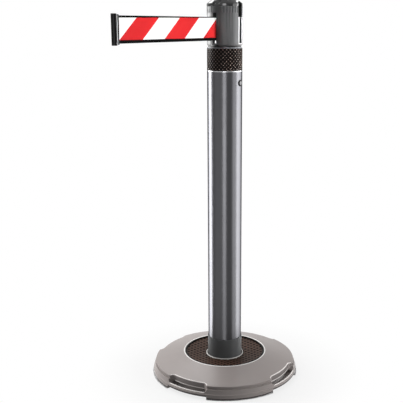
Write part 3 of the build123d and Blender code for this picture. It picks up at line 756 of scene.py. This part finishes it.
def shadeHandHolds(shell):  # painted shade on the curtains, a painted highlight on their lower edge, and painted shade along the foot all round
    edge = baseSet["curtainEdge"]
    edit(shell)
    for height, test in ((edge, onCurtain), (baseSet["foot"], onOuterWall),
                         (baseSet["railFoot"], onOuterWall)):
        pick(shell, "FACE", lambda face: test(centreOf(face)) and isUpright(face))
        bpy.ops.mesh.bisect(plane_co=(0, 0, height * mm), plane_no=(0, 0, 1))
    markWhere(shell, lambda place: onCurtain(place) and place.z > edge, baseSet["curtainShade"], "shaded")
    markWhere(shell, lambda place: onCurtain(place) and place.z < edge, baseSet["edgeWear"], "paintedHighlight")
    markWhere(shell, onFoot, baseSet["footShade"], "shaded")


def makeBaseShell():
    shell = turned("baseShell", softened(baseSet["outline"]), baseSet["steps"])
    inner, edge, outside = baseSet["gripIn"], baseSet["gripEdge"], baseSet["outside"]
    floor, high, span, corner = baseSet["floor"], baseSet["railHigh"], baseSet["span"], baseSet["corner"]
    cutAway(shell, sweptBlock("fingerGap", inner, baseSet["gripOut"], floor, baseSet["gapRoof"], span,
                              baseSet["gapCorner"]))
    aboveRail = sweptBlock("aboveRail", edge, outside, high, baseSet["roof"], span, corner)
    cutAway(aboveRail, railRounds())
    cutAway(shell, aboveRail)
    cutAway(shell, sweptBlock("belowRail", inner, outside, floor, baseSet["railLow"], span, corner))
    cutAway(shell, sweptBlock("railGroove", *baseSet["groove"], baseSet["grooveLow"], high + past,
                              baseSet["grooveSpan"], baseSet["grooveCorner"]))
    # the hand-holds' rounded edges get a painted highlight
    softenEdges(shell, onHandHoldEdge, baseSet["edge"], paintedHighlight=baseSet["edgeWear"])
    shadeHandHolds(shell)
    smooth(shell)
    modify(shell, "WEIGHTED_NORMAL", keep_sharp=True)
    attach(dress(shell, "base_taupe", "base_shell"), "stand")


makeBaseShell()
print("base shell made")


# Mat: a diagonal grid of sunk diamonds, trimmed to a ring
matSet = {
    "cells": 20, "pitch": 14.85, "turn": 75, "rib": 4.9, "slope": 0.8, "depth": 1.2, "low": 40.0, "steps": 96,
    "outline": [(45.6, 39.0, 0), (45.6, 43.0, 0.5), (94.3, 43.0, 0), (94.3, 39.0, 0)],
    "border": [(94.4, 44.3, 0.2), (94.4, 49.8, 0.7), (97.9, 49.8, 0.7), (97.9, 44.5, 0.2)],
    "dishFrom": 45.4, "dishTo": 98.0, "dishRise": 4.5, "smooth": 30,
}


def makeBaseMat():
    trim = turned("matTrim", softened(matSet["outline"]), matSet["steps"])
    deselect()
    size = matSet["cells"] * matSet["pitch"] / math.sqrt(2) * mm
    bpy.ops.mesh.primitive_grid_add(x_subdivisions=matSet["cells"], y_subdivisions=matSet["cells"], size=size,
                                    location=(0, 0, matSet["low"] * mm),
                                    rotation=(0, 0, math.radians(matSet["turn"])))
    mat = named("baseMat")
    edit(mat)
    top = lowAndHigh(matSet["outline"])[1]
    pull(z=top - matSet["low"])
    pick(mat, "FACE", lambda face: abs(face.normal.z) > facing and centreOf(face).z > top - near)
    bpy.ops.mesh.normals_make_consistent(inside=False)
    bpy.ops.mesh.inset(thickness=matSet["rib"] / 2 * mm, use_individual=True)
    bpy.ops.mesh.inset(thickness=matSet["slope"] * mm, depth=-matSet["depth"] * mm, use_individual=True)
    finishEdit()
    mergeAndTurnOut(mat)
    combine(mat, trim, "INTERSECT")
    rise = matSet["dishRise"] / (matSet["dishTo"] - matSet["dishFrom"])
    for vertex in mat.data.vertices:  # the field rises towards its border
        vertex.co.z += rise * (vertex.co.to_2d().length - matSet["dishFrom"] * mm)
    mat = joined([mat, turned("matBorder", softened(matSet["border"]), matSet["steps"])], "baseMat")
    smooth(mat, matSet["smooth"])
    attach(dress(mat, "mat_brown", "base_mat"), "stand")


makeBaseMat()
print("mat made")


# Pole: tube and boot
poleSet = {
    "steps": 96,
    "tube": [(37.5, 24.0, 0.3), (37.5, 731.0, 0.3), (40.0, 731.0, 1.0), (40.0, 24.0, 0.3)],
    "boot": [(40.1, 37.0, 0), (40.1, 91.0, 0.3), (41.5, 91.0, 0.8), (41.5, 40.0, 0.3), (42.9, 40.0, 0.3),
             (42.9, 37.0, 0)],
}


def makePole():
    tube = turned("poleTube", softened(poleSet["tube"]), poleSet["steps"])
    smooth(tube)
    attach(dress(tube, "tube_metal", "pole_tube"), "stand")
    boot = turned("poleBoot", softened(poleSet["boot"]), poleSet["steps"])
    smooth(boot)
    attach(dress(boot, "boot_grey", "pole_boot"), "stand")


makePole()
print("tube and boot made")


# Grip band: one sunk diamond, spun and stacked into a knurl, then trimmed and closed
bandSet = {
    "radius": 40.0, "low": 731.0, "high": 780.0, "round": 30, "rows": 7, "cellHeight": 8.4, "rib": 0.8,
    "slope": 0.8, "depth": 1.1, "rim": 0.8, "rimIn": 0.99, "wallIn": 0.945, "cellWeld": 0.03,
    "lastWeld": 0.001, "smooth": 20,
}


def makeKnurlCell():
    deselect()
    radius, halfStep = bandSet["radius"], math.pi / bandSet["round"]
    bpy.ops.mesh.primitive_circle_add(vertices=4, radius=mm, fill_type="NGON", rotation=(0, math.pi / 2, 0),
                                      location=(radius * mm, 0, bandSet["low"] * mm))
    cell = named("gripBand")
    edit(cell)
    middle = (radius, 0, bandSet["low"])
    scaleBy(1, radius * math.sin(halfStep), bandSet["cellHeight"] / 2, middle)
    pick(cell, "VERT", lambda vertex: abs(vertex.co.y) > mm)
    bpy.ops.transform.translate(value=(-radius * (1 - math.cos(halfStep)) * mm, 0, 0))
    pick(cell, "FACE", lambda face: True)
    bpy.ops.mesh.inset(thickness=bandSet["rib"] / 2 * mm)
    bpy.ops.mesh.inset(thickness=bandSet["slope"] * mm, depth=-bandSet["depth"] * mm)
    finishEdit()
    up = Matrix.Translation((0, 0, bandSet["cellHeight"] / 2 * mm))
    return copies(cell, [Matrix.Identity(4), Matrix.Rotation(halfStep, 4, "Z") @ up])


def makeGripBand():
    band = makeKnurlCell()
    edit(band)
    bpy.ops.mesh.spin(steps=bandSet["round"], dupli=True, angle=math.tau, center=(0, 0, 0), axis=(0, 0, 1))
    finishEdit()
    modify(band, "ARRAY", count=bandSet["rows"], use_relative_offset=False, use_constant_offset=True,
           constant_offset_displace=(0, 0, bandSet["cellHeight"] * mm))
    mergeAndTurnOut(band, bandSet["cellWeld"])
    for height, side in ((bandSet["low"], 1), (bandSet["high"], -1)):
        edge = height + side * bandSet["rim"]
        edit(band)
        bpy.ops.mesh.bisect(plane_co=(0, 0, edge * mm), plane_no=(0, 0, -side), clear_outer=True)
        pick(band, "EDGE", lambda e: e.is_boundary and abs(middleOf(e).z - edge) < near)
        pull(z=height - edge)
        scaleBy(bandSet["rimIn"], bandSet["rimIn"], 1)
        pull()
        scaleBy(bandSet["wallIn"], bandSet["wallIn"], 1)
        finishEdit()
    edit(band)
    pick(band, "EDGE", lambda e: e.is_boundary)
    bpy.ops.mesh.bridge_edge_loops()
    finishEdit()
    mergeAndTurnOut(band, bandSet["lastWeld"])
    smooth(band, bandSet["smooth"])
    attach(dress(band, "band_knurl", "grip_band"), "stand")


makeGripBand()
print("grip band made")


# Head shell with its four slots and the flutes under the cap
headSet = {
    "steps": 120, "radius": 40.0,
    "outline": [(5.1, 784.5, 0), (40.0, 784.5, 4.5), (40.0, 870.0, 0.3), (37.5, 870.0, 0.3),
                (37.5, 788.5, 0.6), (5.1, 788.5, 0)],
    "cutFrom": 31.8, "cutTo": 41.4, "receivers": (0, 90, 270), "slotWidth": 9.0, "slotLow": 791.0,
    "entryWidth": 17.0, "entryLow": 847.0,
    "frame": [(39.4, 789.0, 0), (40.8, 789.0, 0.4), (40.8, 847.0, 0.4), (39.4, 847.0, 0)],
    "frameFrom": 30.0, "frameTo": 50.0, "frameHalf": 8.0, "frameFlareFrom": 39.8, "frameFlare": 0.7,
    "mouth": 180, "mouthWidth": 7.6, "mouthShift": -2.3, "mouthHigh": 856.0, "mouthFlareFrom": 38.4,
    "mouthFlare": 0.8, "mouthHalf": 7.0, "mouthSkin": 0.2, "mouthShade": 1.0,
    "fluteRadius": 1.6, "fluteDepth": 1.0, "fluteLow": 856.0, "fluteSides": 20, "fluteMiddle": 45,
    "fluteStep": 9.5, "fluteSteps": 3,
}


def slotCutter(width, low, high, angles, flareFrom, flare, shift=0.0):  # a block that flares outwards
    half = width / 2
    slot = block("slotCut", (headSet["cutFrom"], flareFrom), (shift - half, shift + half), (low, high))
    edit(slot)
    pick(slot, "FACE", lambda face: face.normal.x > facing)
    pull(x=headSet["cutTo"] - flareFrom)
    scaleBy(1, (half + flare) / half, (high - low + 2 * flare) / (high - low), (0, shift, (high + low) / 2))
    finishEdit()
    return copies(slot, turns(angles))


def makeSlotFrames():  # the raised frames round the receiver slots
    ring = turned("slotFrames", softened(headSet["frame"]), headSet["steps"])
    half, (low, high) = headSet["frameHalf"], lowAndHigh(headSet["frame"])
    keep = block("frameKeep", (headSet["frameFrom"], headSet["frameTo"]), (-half, half),
                 (low - past, high + past))
    combine(ring, copies(keep, turns(headSet["receivers"])), "INTERSECT")
    return ring


def makeFlutes(top):  # upright cutters all round, in four groups between the slots
    radius, low = headSet["fluteRadius"], headSet["fluteLow"]
    away = headSet["radius"] - headSet["fluteDepth"] + radius
    flute = rod("fluteCut", headSet["fluteSides"], radius, top - low, (away, 0, (top + low) / 2))
    count = headSet["fluteSteps"]
    steps = [step * headSet["fluteStep"] for step in range(-count, count + 1)]
    middles = [quarter + headSet["fluteMiddle"] for quarter in quarters]
    return copies(flute, turns([middle + step for middle in middles for step in steps]))


def inMouth(place):  # the bevelled sides of the belt's slot
    inside = place.to_2d().length < headSet["radius"] - headSet["mouthSkin"]
    return place.x < 0 and abs(place.y) < headSet["mouthHalf"] and inside


def makeHeadShell():
    shell = turned("headShell", softened(headSet["outline"]), headSet["steps"])
    combine(shell, makeSlotFrames(), "UNION")
    top = lowAndHigh(headSet["outline"])[1] + past
    for width, low in (("slotWidth", "slotLow"), ("entryWidth", "entryLow")):
        cutAway(shell, slotCutter(headSet[width], headSet[low], top, headSet["receivers"],
                                  headSet["frameFlareFrom"], headSet["frameFlare"]))
    cutAway(shell, slotCutter(headSet["mouthWidth"], headSet["slotLow"], headSet["mouthHigh"],
                              [headSet["mouth"]], headSet["mouthFlareFrom"], headSet["mouthFlare"],
                              headSet["mouthShift"]))
    cutAway(shell, makeFlutes(top))
    # painted shade on the sides of the belt's slot
    markWhere(shell, inMouth, headSet["mouthShade"], "shaded")
    smooth(shell)
    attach(dress(shell, "head_grey", "head_shell"), "stand")


makeHeadShell()
print("head shell made")


# Cap, notched over the receivers and hollowed over the belt
capSet = {
    "steps": 120, "cornerSteps": 6, "edge": 0.7,
    "outline": [(2.5, 870.0, 0), (40.3, 870.0, 1.0), (40.3, 876.0, 2.0), (29.3, 884.0, 4.0),
                (22.0, 886.68, 0), (15.0, 888.47, 0), (10.0, 889.33, 0), (7.1, 889.66, 0.3),
                (7.1, 887.0, 0), (4.3, 887.0, 0), (4.3, 883.7, 0), (2.5, 883.7, 0)],
    "notchWidth": 17.0, "notchFrom": 31.82, "notchTo": 42.0, "recessLow": 875.6,
}


def makeHeadCap():
    cap = turned("headCap", softened(capSet["outline"], capSet["cornerSteps"]), capSet["steps"])
    deep, half = (capSet["notchFrom"], capSet["notchTo"]), capSet["notchWidth"] / 2
    low, high = lowAndHigh(capSet["outline"])
    notch = block("notchCut", deep, (-half, half), (low - past, high + past))
    cutAway(cap, copies(notch, turns(headSet["receivers"])))
    recess = block("recessCut", deep, (-half, half), (capSet["recessLow"], high + past))
    cutAway(cap, copies(recess, turns([headSet["mouth"]])))  # over the belt it stops short of the rim's foot
    softenEdges(cap, lambda place: place.to_2d().length > capSet["notchFrom"] - past, capSet["edge"])
    smooth(cap)
    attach(dress(cap, "cap_black", "head_cap"), "stand")


makeHeadCap()
print("cap made")


# Belt clip: a bar pulled out station by station
clipSet = {
    "start": -389.5, "middle": 822.0, "lowHalf": 26.2, "highHalf": 28.5, "edge": 0.6, "edgeSteps": 3,
    "edgeAngle": 40, "stations": [  # length along the clip and width there
        (0, 8.6), (0.8, 11.0), (3.2, 11.0), (3.7, 8.0), (7.2, 8.0), (7.8, 12.0), (10.6, 12.0)],
    "neck": (4, 3),  # the stations that it lies between
    "neckHighlight": 1.0, "grooveWidth": 4.0, "grooveDepth": 1.0, "grooveHighlight": 0.3,
    "slit": 1.2, "slitFrom": -392.4, "pinAt": -393.1, "loopRoom": 2.2, "pinRoom": 1.45, "pinLow": 795.9,
    "beltLow": 796.7, "beltHigh": 847.3, "holeSides": 25, "clear": 40.0,
}


def makeClipBar():
    start, middle, stations = clipSet["start"], clipSet["middle"], clipSet["stations"]
    length, lowHalf = stations[-1][0], clipSet["lowHalf"]

    def halfAt(along):
        return lowHalf + (clipSet["highHalf"] - lowHalf) * along / length

    (along, width), first = stations[1], stations[0][1]
    clip = block("beltClip", (start - along, start), (-first / 2, first / 2),
                 (middle - lowHalf, middle + lowHalf))
    edit(clip)
    pick(clip, "FACE", lambda face: face.normal.x < -facing)
    scaleBy(1, width / first, halfAt(along) / lowHalf, (0, 0, middle))
    for nextAlong, nextWidth in stations[2:]:
        pull(x=along - nextAlong)
        scaleBy(1, nextWidth / width, halfAt(nextAlong) / halfAt(along), (0, 0, middle))
        along, width = nextAlong, nextWidth
    finishEdit()
    modify(clip, "BEVEL", width=clipSet["edge"] * mm, segments=clipSet["edgeSteps"], limit_method="ANGLE",
           angle_limit=math.radians(clipSet["edgeAngle"]))
    return clip


def makeBeltClip():
    clip = makeClipBar()
    start, middle, stations = clipSet["start"], clipSet["middle"], clipSet["stations"]
    slit, belt = clipSet["slit"] / 2, (clipSet["beltLow"], clipSet["beltHigh"])
    lowest, highest = middle - clipSet["clear"], middle + clipSet["clear"]
    cutAway(clip, block("slitCut", (clipSet["slitFrom"], start + past), (-slit, slit), belt))
    for radius, (low, high) in ((clipSet["loopRoom"], belt),
                                (clipSet["pinRoom"], (clipSet["pinLow"], highest))):
        centre = (clipSet["pinAt"], 0, (high + low) / 2)
        cutAway(clip, rod("pinCut", clipSet["holeSides"], radius, high - low, centre))
    end, deep, groove = start - stations[-1][0], clipSet["grooveDepth"], clipSet["grooveWidth"] / 2
    cutAway(clip, block("grooveCut", (end - past, end + deep), (-groove, groove), (lowest, highest)))
    neckFrom, neckTo = (start - stations[place][0] for place in clipSet["neck"])
    # painted highlights on the neck and in the groove
    markWhere(clip, lambda place: neckFrom < place.x < neckTo, clipSet["neckHighlight"], "paintedHighlight")
    markWhere(clip, lambda place: end + near < place.x < end + deep + near and abs(place.y) < groove + near,
              clipSet["grooveHighlight"], "paintedHighlight")
    smooth(clip)
    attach(dress(clip, "clip_black", "belt_clip"), "belt_end")


makeBeltClip()
print("clip made")


# Belt: a strip pulled along its path, with thicker edges
beltSet = {
    "thick": 0.6, "rows": (797.0, 803.2, 844.6, 847.0), "edgeThick": 0.1, "leastFace": 0.1, "smooth": 40,
    "pin": (-393.1, 0.0), "loopRadius": 1.8, "loopSteps": 14, "loopGap": 30,
    "post": (-34.42, 3.1), "bendRadius": 3.1, "bend": 57.19, "bendSteps": 6, "roll": (-23.12, 14.906),
    "mouth": -40.0, "clip": -389.5,
}


def around(centre, radius, angle):
    return Vector((centre[0] + radius * math.cos(angle), centre[1] + radius * math.sin(angle)))


def beltPath():  # round the clip's pin, along to the guide post, round that and across to the roll
    gap, steps = math.radians(beltSet["loopGap"]), beltSet["loopSteps"]
    path = [around(beltSet["pin"], beltSet["loopRadius"], gap + (math.tau - 2 * gap) * step / steps)
            for step in range(steps + 1)]
    path.append(Vector((beltSet["pin"][0] + 2 * beltSet["loopRadius"], 0)))
    bend, steps = math.radians(beltSet["bend"]), beltSet["bendSteps"]
    path += [around(beltSet["post"], beltSet["bendRadius"], bend * step / steps - math.pi / 2)
             for step in range(steps + 1)]
    path.append(Vector(beltSet["roll"]))
    return path


def uprightEdge(name, x, y, rows):  # the strip's first edge, with a vertex at each row
    deselect()
    bpy.ops.mesh.primitive_plane_add(size=1, rotation=(math.pi / 2, 0, 0))
    strip = named(name)
    edit(strip)
    pick(strip, "VERT", lambda vertex: vertex.co.x < 0)
    bpy.ops.mesh.delete(type="VERT")
    bpy.ops.mesh.select_all(action="SELECT")
    scaleBy(0, 1, (rows[-1] - rows[0]) * mm)
    bpy.ops.transform.translate(value=(x * mm, y * mm, (rows[-1] + rows[0]) / 2 * mm))
    if len(rows) > 2:
        bpy.ops.mesh.subdivide(number_cuts=len(rows) - 2)
        even = (rows[-1] - rows[0]) / (len(rows) - 1)
        for index, height in enumerate(rows[1:-1], 1):
            was = rows[0] + even * index
            pick(strip, "VERT", lambda vertex: abs(vertex.co.z / mm - was) < near)
            bpy.ops.transform.translate(value=(0, 0, (height - was) * mm))
    bpy.ops.mesh.select_all(action="SELECT")
    return strip


def pullAlong(path):  # pulls the edge that is selected along a path, and gives its length in metres
    for here, there in zip(path, path[1:]):
        pull(there.x - here.x, there.y - here.y)
    finishEdit()
    return sum((there - here).length for here, there in zip(path, path[1:])) * mm


def makeBelt():
    path, rows = beltPath(), beltSet["rows"]
    belt = uprightEdge("belt", *path[0], rows)
    length = pullAlong(path)
    modify(belt, "SOLIDIFY", thickness=beltSet["thick"] * mm, offset=0.0)
    edit(belt)
    pick(belt, "FACE", lambda face: isUpright(face) and face.calc_area() > beltSet["leastFace"] * mm * mm
         and not rows[1] < centreOf(face).z < rows[2])
    bpy.ops.mesh.extrude_region_shrink_fatten(TRANSFORM_OT_shrink_fatten={"value": beltSet["edgeThick"] * mm})
    finishEdit()
    smooth(belt, beltSet["smooth"])
    dress(belt, "belt_webbing", "belt_strip")
    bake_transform(belt)


makeBelt()
print("belt made")


# The belt that is still wound up, turn on turn
rollSet = {
    "inner": 17.4, "outer": 26.6, "pitch": 0.6, "thick": 0.5, "steps": 20, "rows": (797.0, 847.0),
    "smooth": 40,
}


def makeBeltRoll():
    inner, pitch, steps, rows = rollSet["inner"], rollSet["pitch"], rollSet["steps"], rollSet["rows"]
    count = round((rollSet["outer"] - inner) / pitch * steps)
    path = [around((0, 0), inner + pitch * step / steps, math.tau * step / steps)
            for step in range(count + 1)]
    roll = uprightEdge("beltRoll", *path[0], rows)
    length = pullAlong(path)
    modify(roll, "SOLIDIFY", thickness=rollSet["thick"] * mm, offset=0.0)
    smooth(roll, rollSet["smooth"])
    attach(dress(roll, "belt_webbing", "belt_roll"), "reel")


makeBeltRoll()
print("roll made")


# Fixing screws through the tube, with hexagon sockets
screwSet = {
    "steps": 32, "height": 704.0, "socket": 1.75, "socketDepth": 1.3, "socketSides": 6, "poleWeld": 0.2,
    "outline": [(0.05, 31.5, 0), (2.5, 31.5, 0.4), (2.5, 40.53, 0), (4.2, 40.53, 0.1), (4.2, 42.13, 0.5),
                (0.05, 42.13, 0)],
}


def makeFixingScrews():
    screw = turned("fixingScrews", softened(screwSet["outline"]), screwSet["steps"])
    edit(screw)
    pick(screw, "VERT", lambda vertex: vertex.co.to_2d().length < near * mm)
    bpy.ops.mesh.remove_doubles(threshold=screwSet["poleWeld"] * mm)
    bpy.ops.mesh.select_all(action="SELECT")
    bpy.ops.mesh.delete_loose(use_verts=True, use_edges=True, use_faces=False)
    finishEdit()
    mergeAndTurnOut(screw)
    top = lowAndHigh(screwSet["outline"])[1]
    cutAway(screw, rod("socketCut", screwSet["socketSides"], screwSet["socket"], 2 * screwSet["socketDepth"],
                       (0, 0, top)))
    lift = Matrix.Translation((0, 0, screwSet["height"] * mm))
    screws = copies(screw, [lift @ Matrix.Rotation(side * math.pi / 2, 4, "X") for side in (-1, 1)])
    smooth(screws)
    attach(dress(screws, "steel", "adapter_screws"), "stand")


makeFixingScrews()
print("fixing screws made")


# Stage: floor, light and camera, in metres
stageSet = {
    "floorSize": 40.0, "floorDrop": 0.0003, "floorCuts": 8, "floorTone": 0.9, "bounceTone": 0.2,
    "floorRoughness": 0.9, "underBase": 0.158, "contact": 0.1785, "fadeStart": 0.17, "fadeEnd": 0.36,
    "nearShare": 0.78, "fill": 0.22,
}


def seenByLens(tree):  # camera, glossy and transmission rays
    path = addNode(tree, "LightPath").outputs
    seen = compute(tree, "MAXIMUM", path["Is Camera Ray"], path["Is Glossy Ray"])
    return compute(tree, "MAXIMUM", seen, path["Is Transmission Ray"])


def whiteShare(tree):  # how much is plain white: all far off, less near the base, none where it touches
    far = addNode(tree, "VectorMath", [("Vector", objectPlace(tree))], operation="LENGTH").outputs["Value"]
    fade = addNode(tree, "MapRange", [("Value", far)], interpolation_type="SMOOTHSTEP",
                   From_Min=stageSet["fadeStart"], From_Max=stageSet["fadeEnd"], To_Min=stageSet["nearShare"])
    axes = placeAxes(tree)
    angle = compute(tree, "ARCTAN2", axes["Y"], axes["X"])
    swung = compute(tree, "SUBTRACT", angle, math.radians(baseSet["turn"]))
    fromHold = compute(tree, "PINGPONG", swung, math.pi / 4)  # angle from the nearest hand-hold's middle
    between = compute(tree, "GREATER_THAN", fromHold, math.radians(baseSet["span"] / 2))
    touching = compute(tree, "MULTIPLY", between, compute(tree, "LESS_THAN", far, stageSet["contact"]))
    clear = compute(tree, "SUBTRACT", compute(tree, "GREATER_THAN", far, stageSet["underBase"]), touching)
    return compute(tree, "MULTIPLY", fade.outputs["Result"], clear)


def makeFloor():
    deselect()
    bpy.ops.mesh.primitive_plane_add(size=stageSet["floorSize"], location=(0, 0, -stageSet["floorDrop"]))
    floor = named("floor")
    edit(floor)
    bpy.ops.mesh.subdivide(number_cuts=stageSet["floorCuts"])
    finishEdit()
    material, tree, shader = newMaterial("paleFloor", stageSet["floorRoughness"], Specular_IOR_Level=0.0)
    bounced = addNode(tree, "LightPath").outputs["Is Diffuse Ray"]  # little light comes back up off the floor
    colour = mixColour(tree, bounced, grey(stageSet["floorTone"]), grey(stageSet["bounceTone"]))
    tree.links.new(colour, shader.inputs["Base Color"])
    share = compute(tree, "MULTIPLY", whiteShare(tree), seenByLens(tree))
    glow = addNode(tree, "Emission", Color=(1, 1, 1, 1), Strength=1.0)
    both = addNode(tree, "MixShader", [(0, share), (1, shader.outputs[0]), (2, glow.outputs[0])])
    tree.links.new(both.outputs[0], tree.nodes["Material Output"].inputs["Surface"])
    floor.data.materials.append(material)
    floor.visible_glossy = False  # the lamps' reflections run down to the foot of the tube


def makeWorld():
    world = bpy.context.scene.world or bpy.data.worlds.new("studio")
    bpy.context.scene.world = world
    world.use_nodes = True
    tree = world.node_tree
    tree.nodes.clear()
    fill = addNode(tree, "Background", Color=(1, 1, 1, 1), Strength=stageSet["fill"])
    white = addNode(tree, "Background", Color=(1, 1, 1, 1), Strength=1.0)
    both = addNode(tree, "MixShader", [(0, seenByLens(tree)), (1, fill.outputs[0]), (2, white.outputs[0])])
    out = tree.nodes.new("ShaderNodeOutputWorld")
    tree.links.new(both.outputs[0], out.inputs["Surface"])


lampAim = (0, 0, 0.3)
lampKeepOff = ["baseShell", "baseMat", "fixingScrews", nodes["adapter_cups"].name]
lampSet = {  # turn and rise as seen from the pole, distance, size and watts
    "overhead": {"turn": 142, "rise": 50, "away": 2.2, "size": (1.6, 0.9), "watts": 24},
    "rightBox": {"turn": 28, "rise": 16, "away": 2.1, "size": (1.3, 1.8), "watts": 18, "glossy": False},
    "beltBox": {"turn": 20, "rise": 12, "away": 2.0, "size": (0.9, 0.5), "watts": 2.2, "glossy": False,
                "spread": 36, "aim": (-0.2, 0, 0.82)},
    "leftBox": {"turn": -176, "rise": 24, "away": 2.2, "size": (1.2, 1.8), "watts": 20, "glossy": False},
    "leftStrip": {"turn": -176, "rise": 0, "away": 2.0, "size": (1.2, 3.4), "watts": 350, "diffuse": False,
                  "spare": ["headCap"]},
    "leftBand": {"turn": -102, "rise": 0, "away": 2.4, "size": (2.5, 3.4), "watts": 21, "diffuse": False},
    "frontBand": {"turn": -62, "rise": 0, "away": 2.6, "size": (1.0, 2.6), "watts": 65, "diffuse": False,
                  "aim": (0, 0, 0.6)},
    "rightBand": {"turn": 8, "rise": 0, "away": 2.2, "size": (1.1, 3.4), "watts": 48, "diffuse": False},
    "rightBack": {"turn": 51, "rise": 0, "away": 2.2, "size": (2.2, 3.4), "watts": 310, "diffuse": False},
    "baseLeft": {"turn": -160, "rise": 8, "away": 2.0, "size": (0.8, 0.8), "watts": 34, "glossy": False,
                 "only": ["baseShell"]},
    "baseRight": {"turn": 10, "rise": 4, "away": 2.0, "size": (0.8, 0.8), "watts": 18, "glossy": False,
                  "only": ["baseShell"]},
}


def awayFrom(turn, rise, distance):
    turn, rise = math.radians(turn), math.radians(rise)
    level = math.cos(rise)
    return Vector((math.sin(turn) * level, -math.cos(turn) * level, math.sin(rise))) * distance


def linkLamp(lamp, names, state):  # lights only the pieces that are named, or all but those
    linked = bpy.data.collections.new(lamp.name)
    for index, name in enumerate(names):
        linked.objects.link(bpy.data.objects[name])
        linked.collection_objects[index].light_linking.link_state = state
    lamp.light_linking.receiver_collection = linked


def makeLamp(name, look):
    deselect()
    aim = Vector(look.get("aim", lampAim))
    bpy.ops.object.light_add(type="AREA", location=aim + awayFrom(look["turn"], look["rise"], look["away"]))
    lamp = bpy.context.object
    lamp.name = name
    lamp.data.shape = "RECTANGLE"
    lamp.data.size, lamp.data.size_y = look["size"]
    lamp.data.energy = look["watts"]
    lamp.data.spread = math.radians(look.get("spread", 180))
    lamp.visible_diffuse = look.get("diffuse", True)
    lamp.visible_glossy = look.get("glossy", True)
    if "only" in look:
        linkLamp(lamp, look["only"], "INCLUDE")
    elif not lamp.visible_diffuse:  # lamps made for reflections keep off some pieces
        linkLamp(lamp, lampKeepOff + look.get("spare", []), "EXCLUDE")
    lamp.rotation_euler = (aim - lamp.location).to_track_quat("-Z", "Y").to_euler()


cameraSet = {  # focal length and centre in pixels of the picture
    "turn": -60.0, "away": 1.783, "height": 0.830, "pitch": 14.86, "focal": 772.5, "picture": 403,
    "centre": (224.7, 230.0), "sensor": 36.0,
}


def makeCamera():
    deselect()
    place = awayFrom(cameraSet["turn"], 0, cameraSet["away"])
    place.z = cameraSet["height"]
    tilt = (math.radians(90 - cameraSet["pitch"]), 0, math.radians(cameraSet["turn"]))
    bpy.ops.object.camera_add(location=place, rotation=tilt)
    camera = bpy.context.object
    wide, (across, down) = cameraSet["picture"], cameraSet["centre"]
    camera.data.sensor_width = cameraSet["sensor"]
    camera.data.lens = cameraSet["focal"] * cameraSet["sensor"] / wide
    camera.data.shift_x = 0.5 - across / wide
    camera.data.shift_y = down / wide - 0.5
    bpy.context.scene.camera = camera


bpy.context.scene.view_settings.view_transform = "Standard"
makeFloor()
makeWorld()
for lampName, lampLook in lampSet.items():
    makeLamp(lampName, lampLook)
makeCamera()
print("stage, lamps and camera placed")
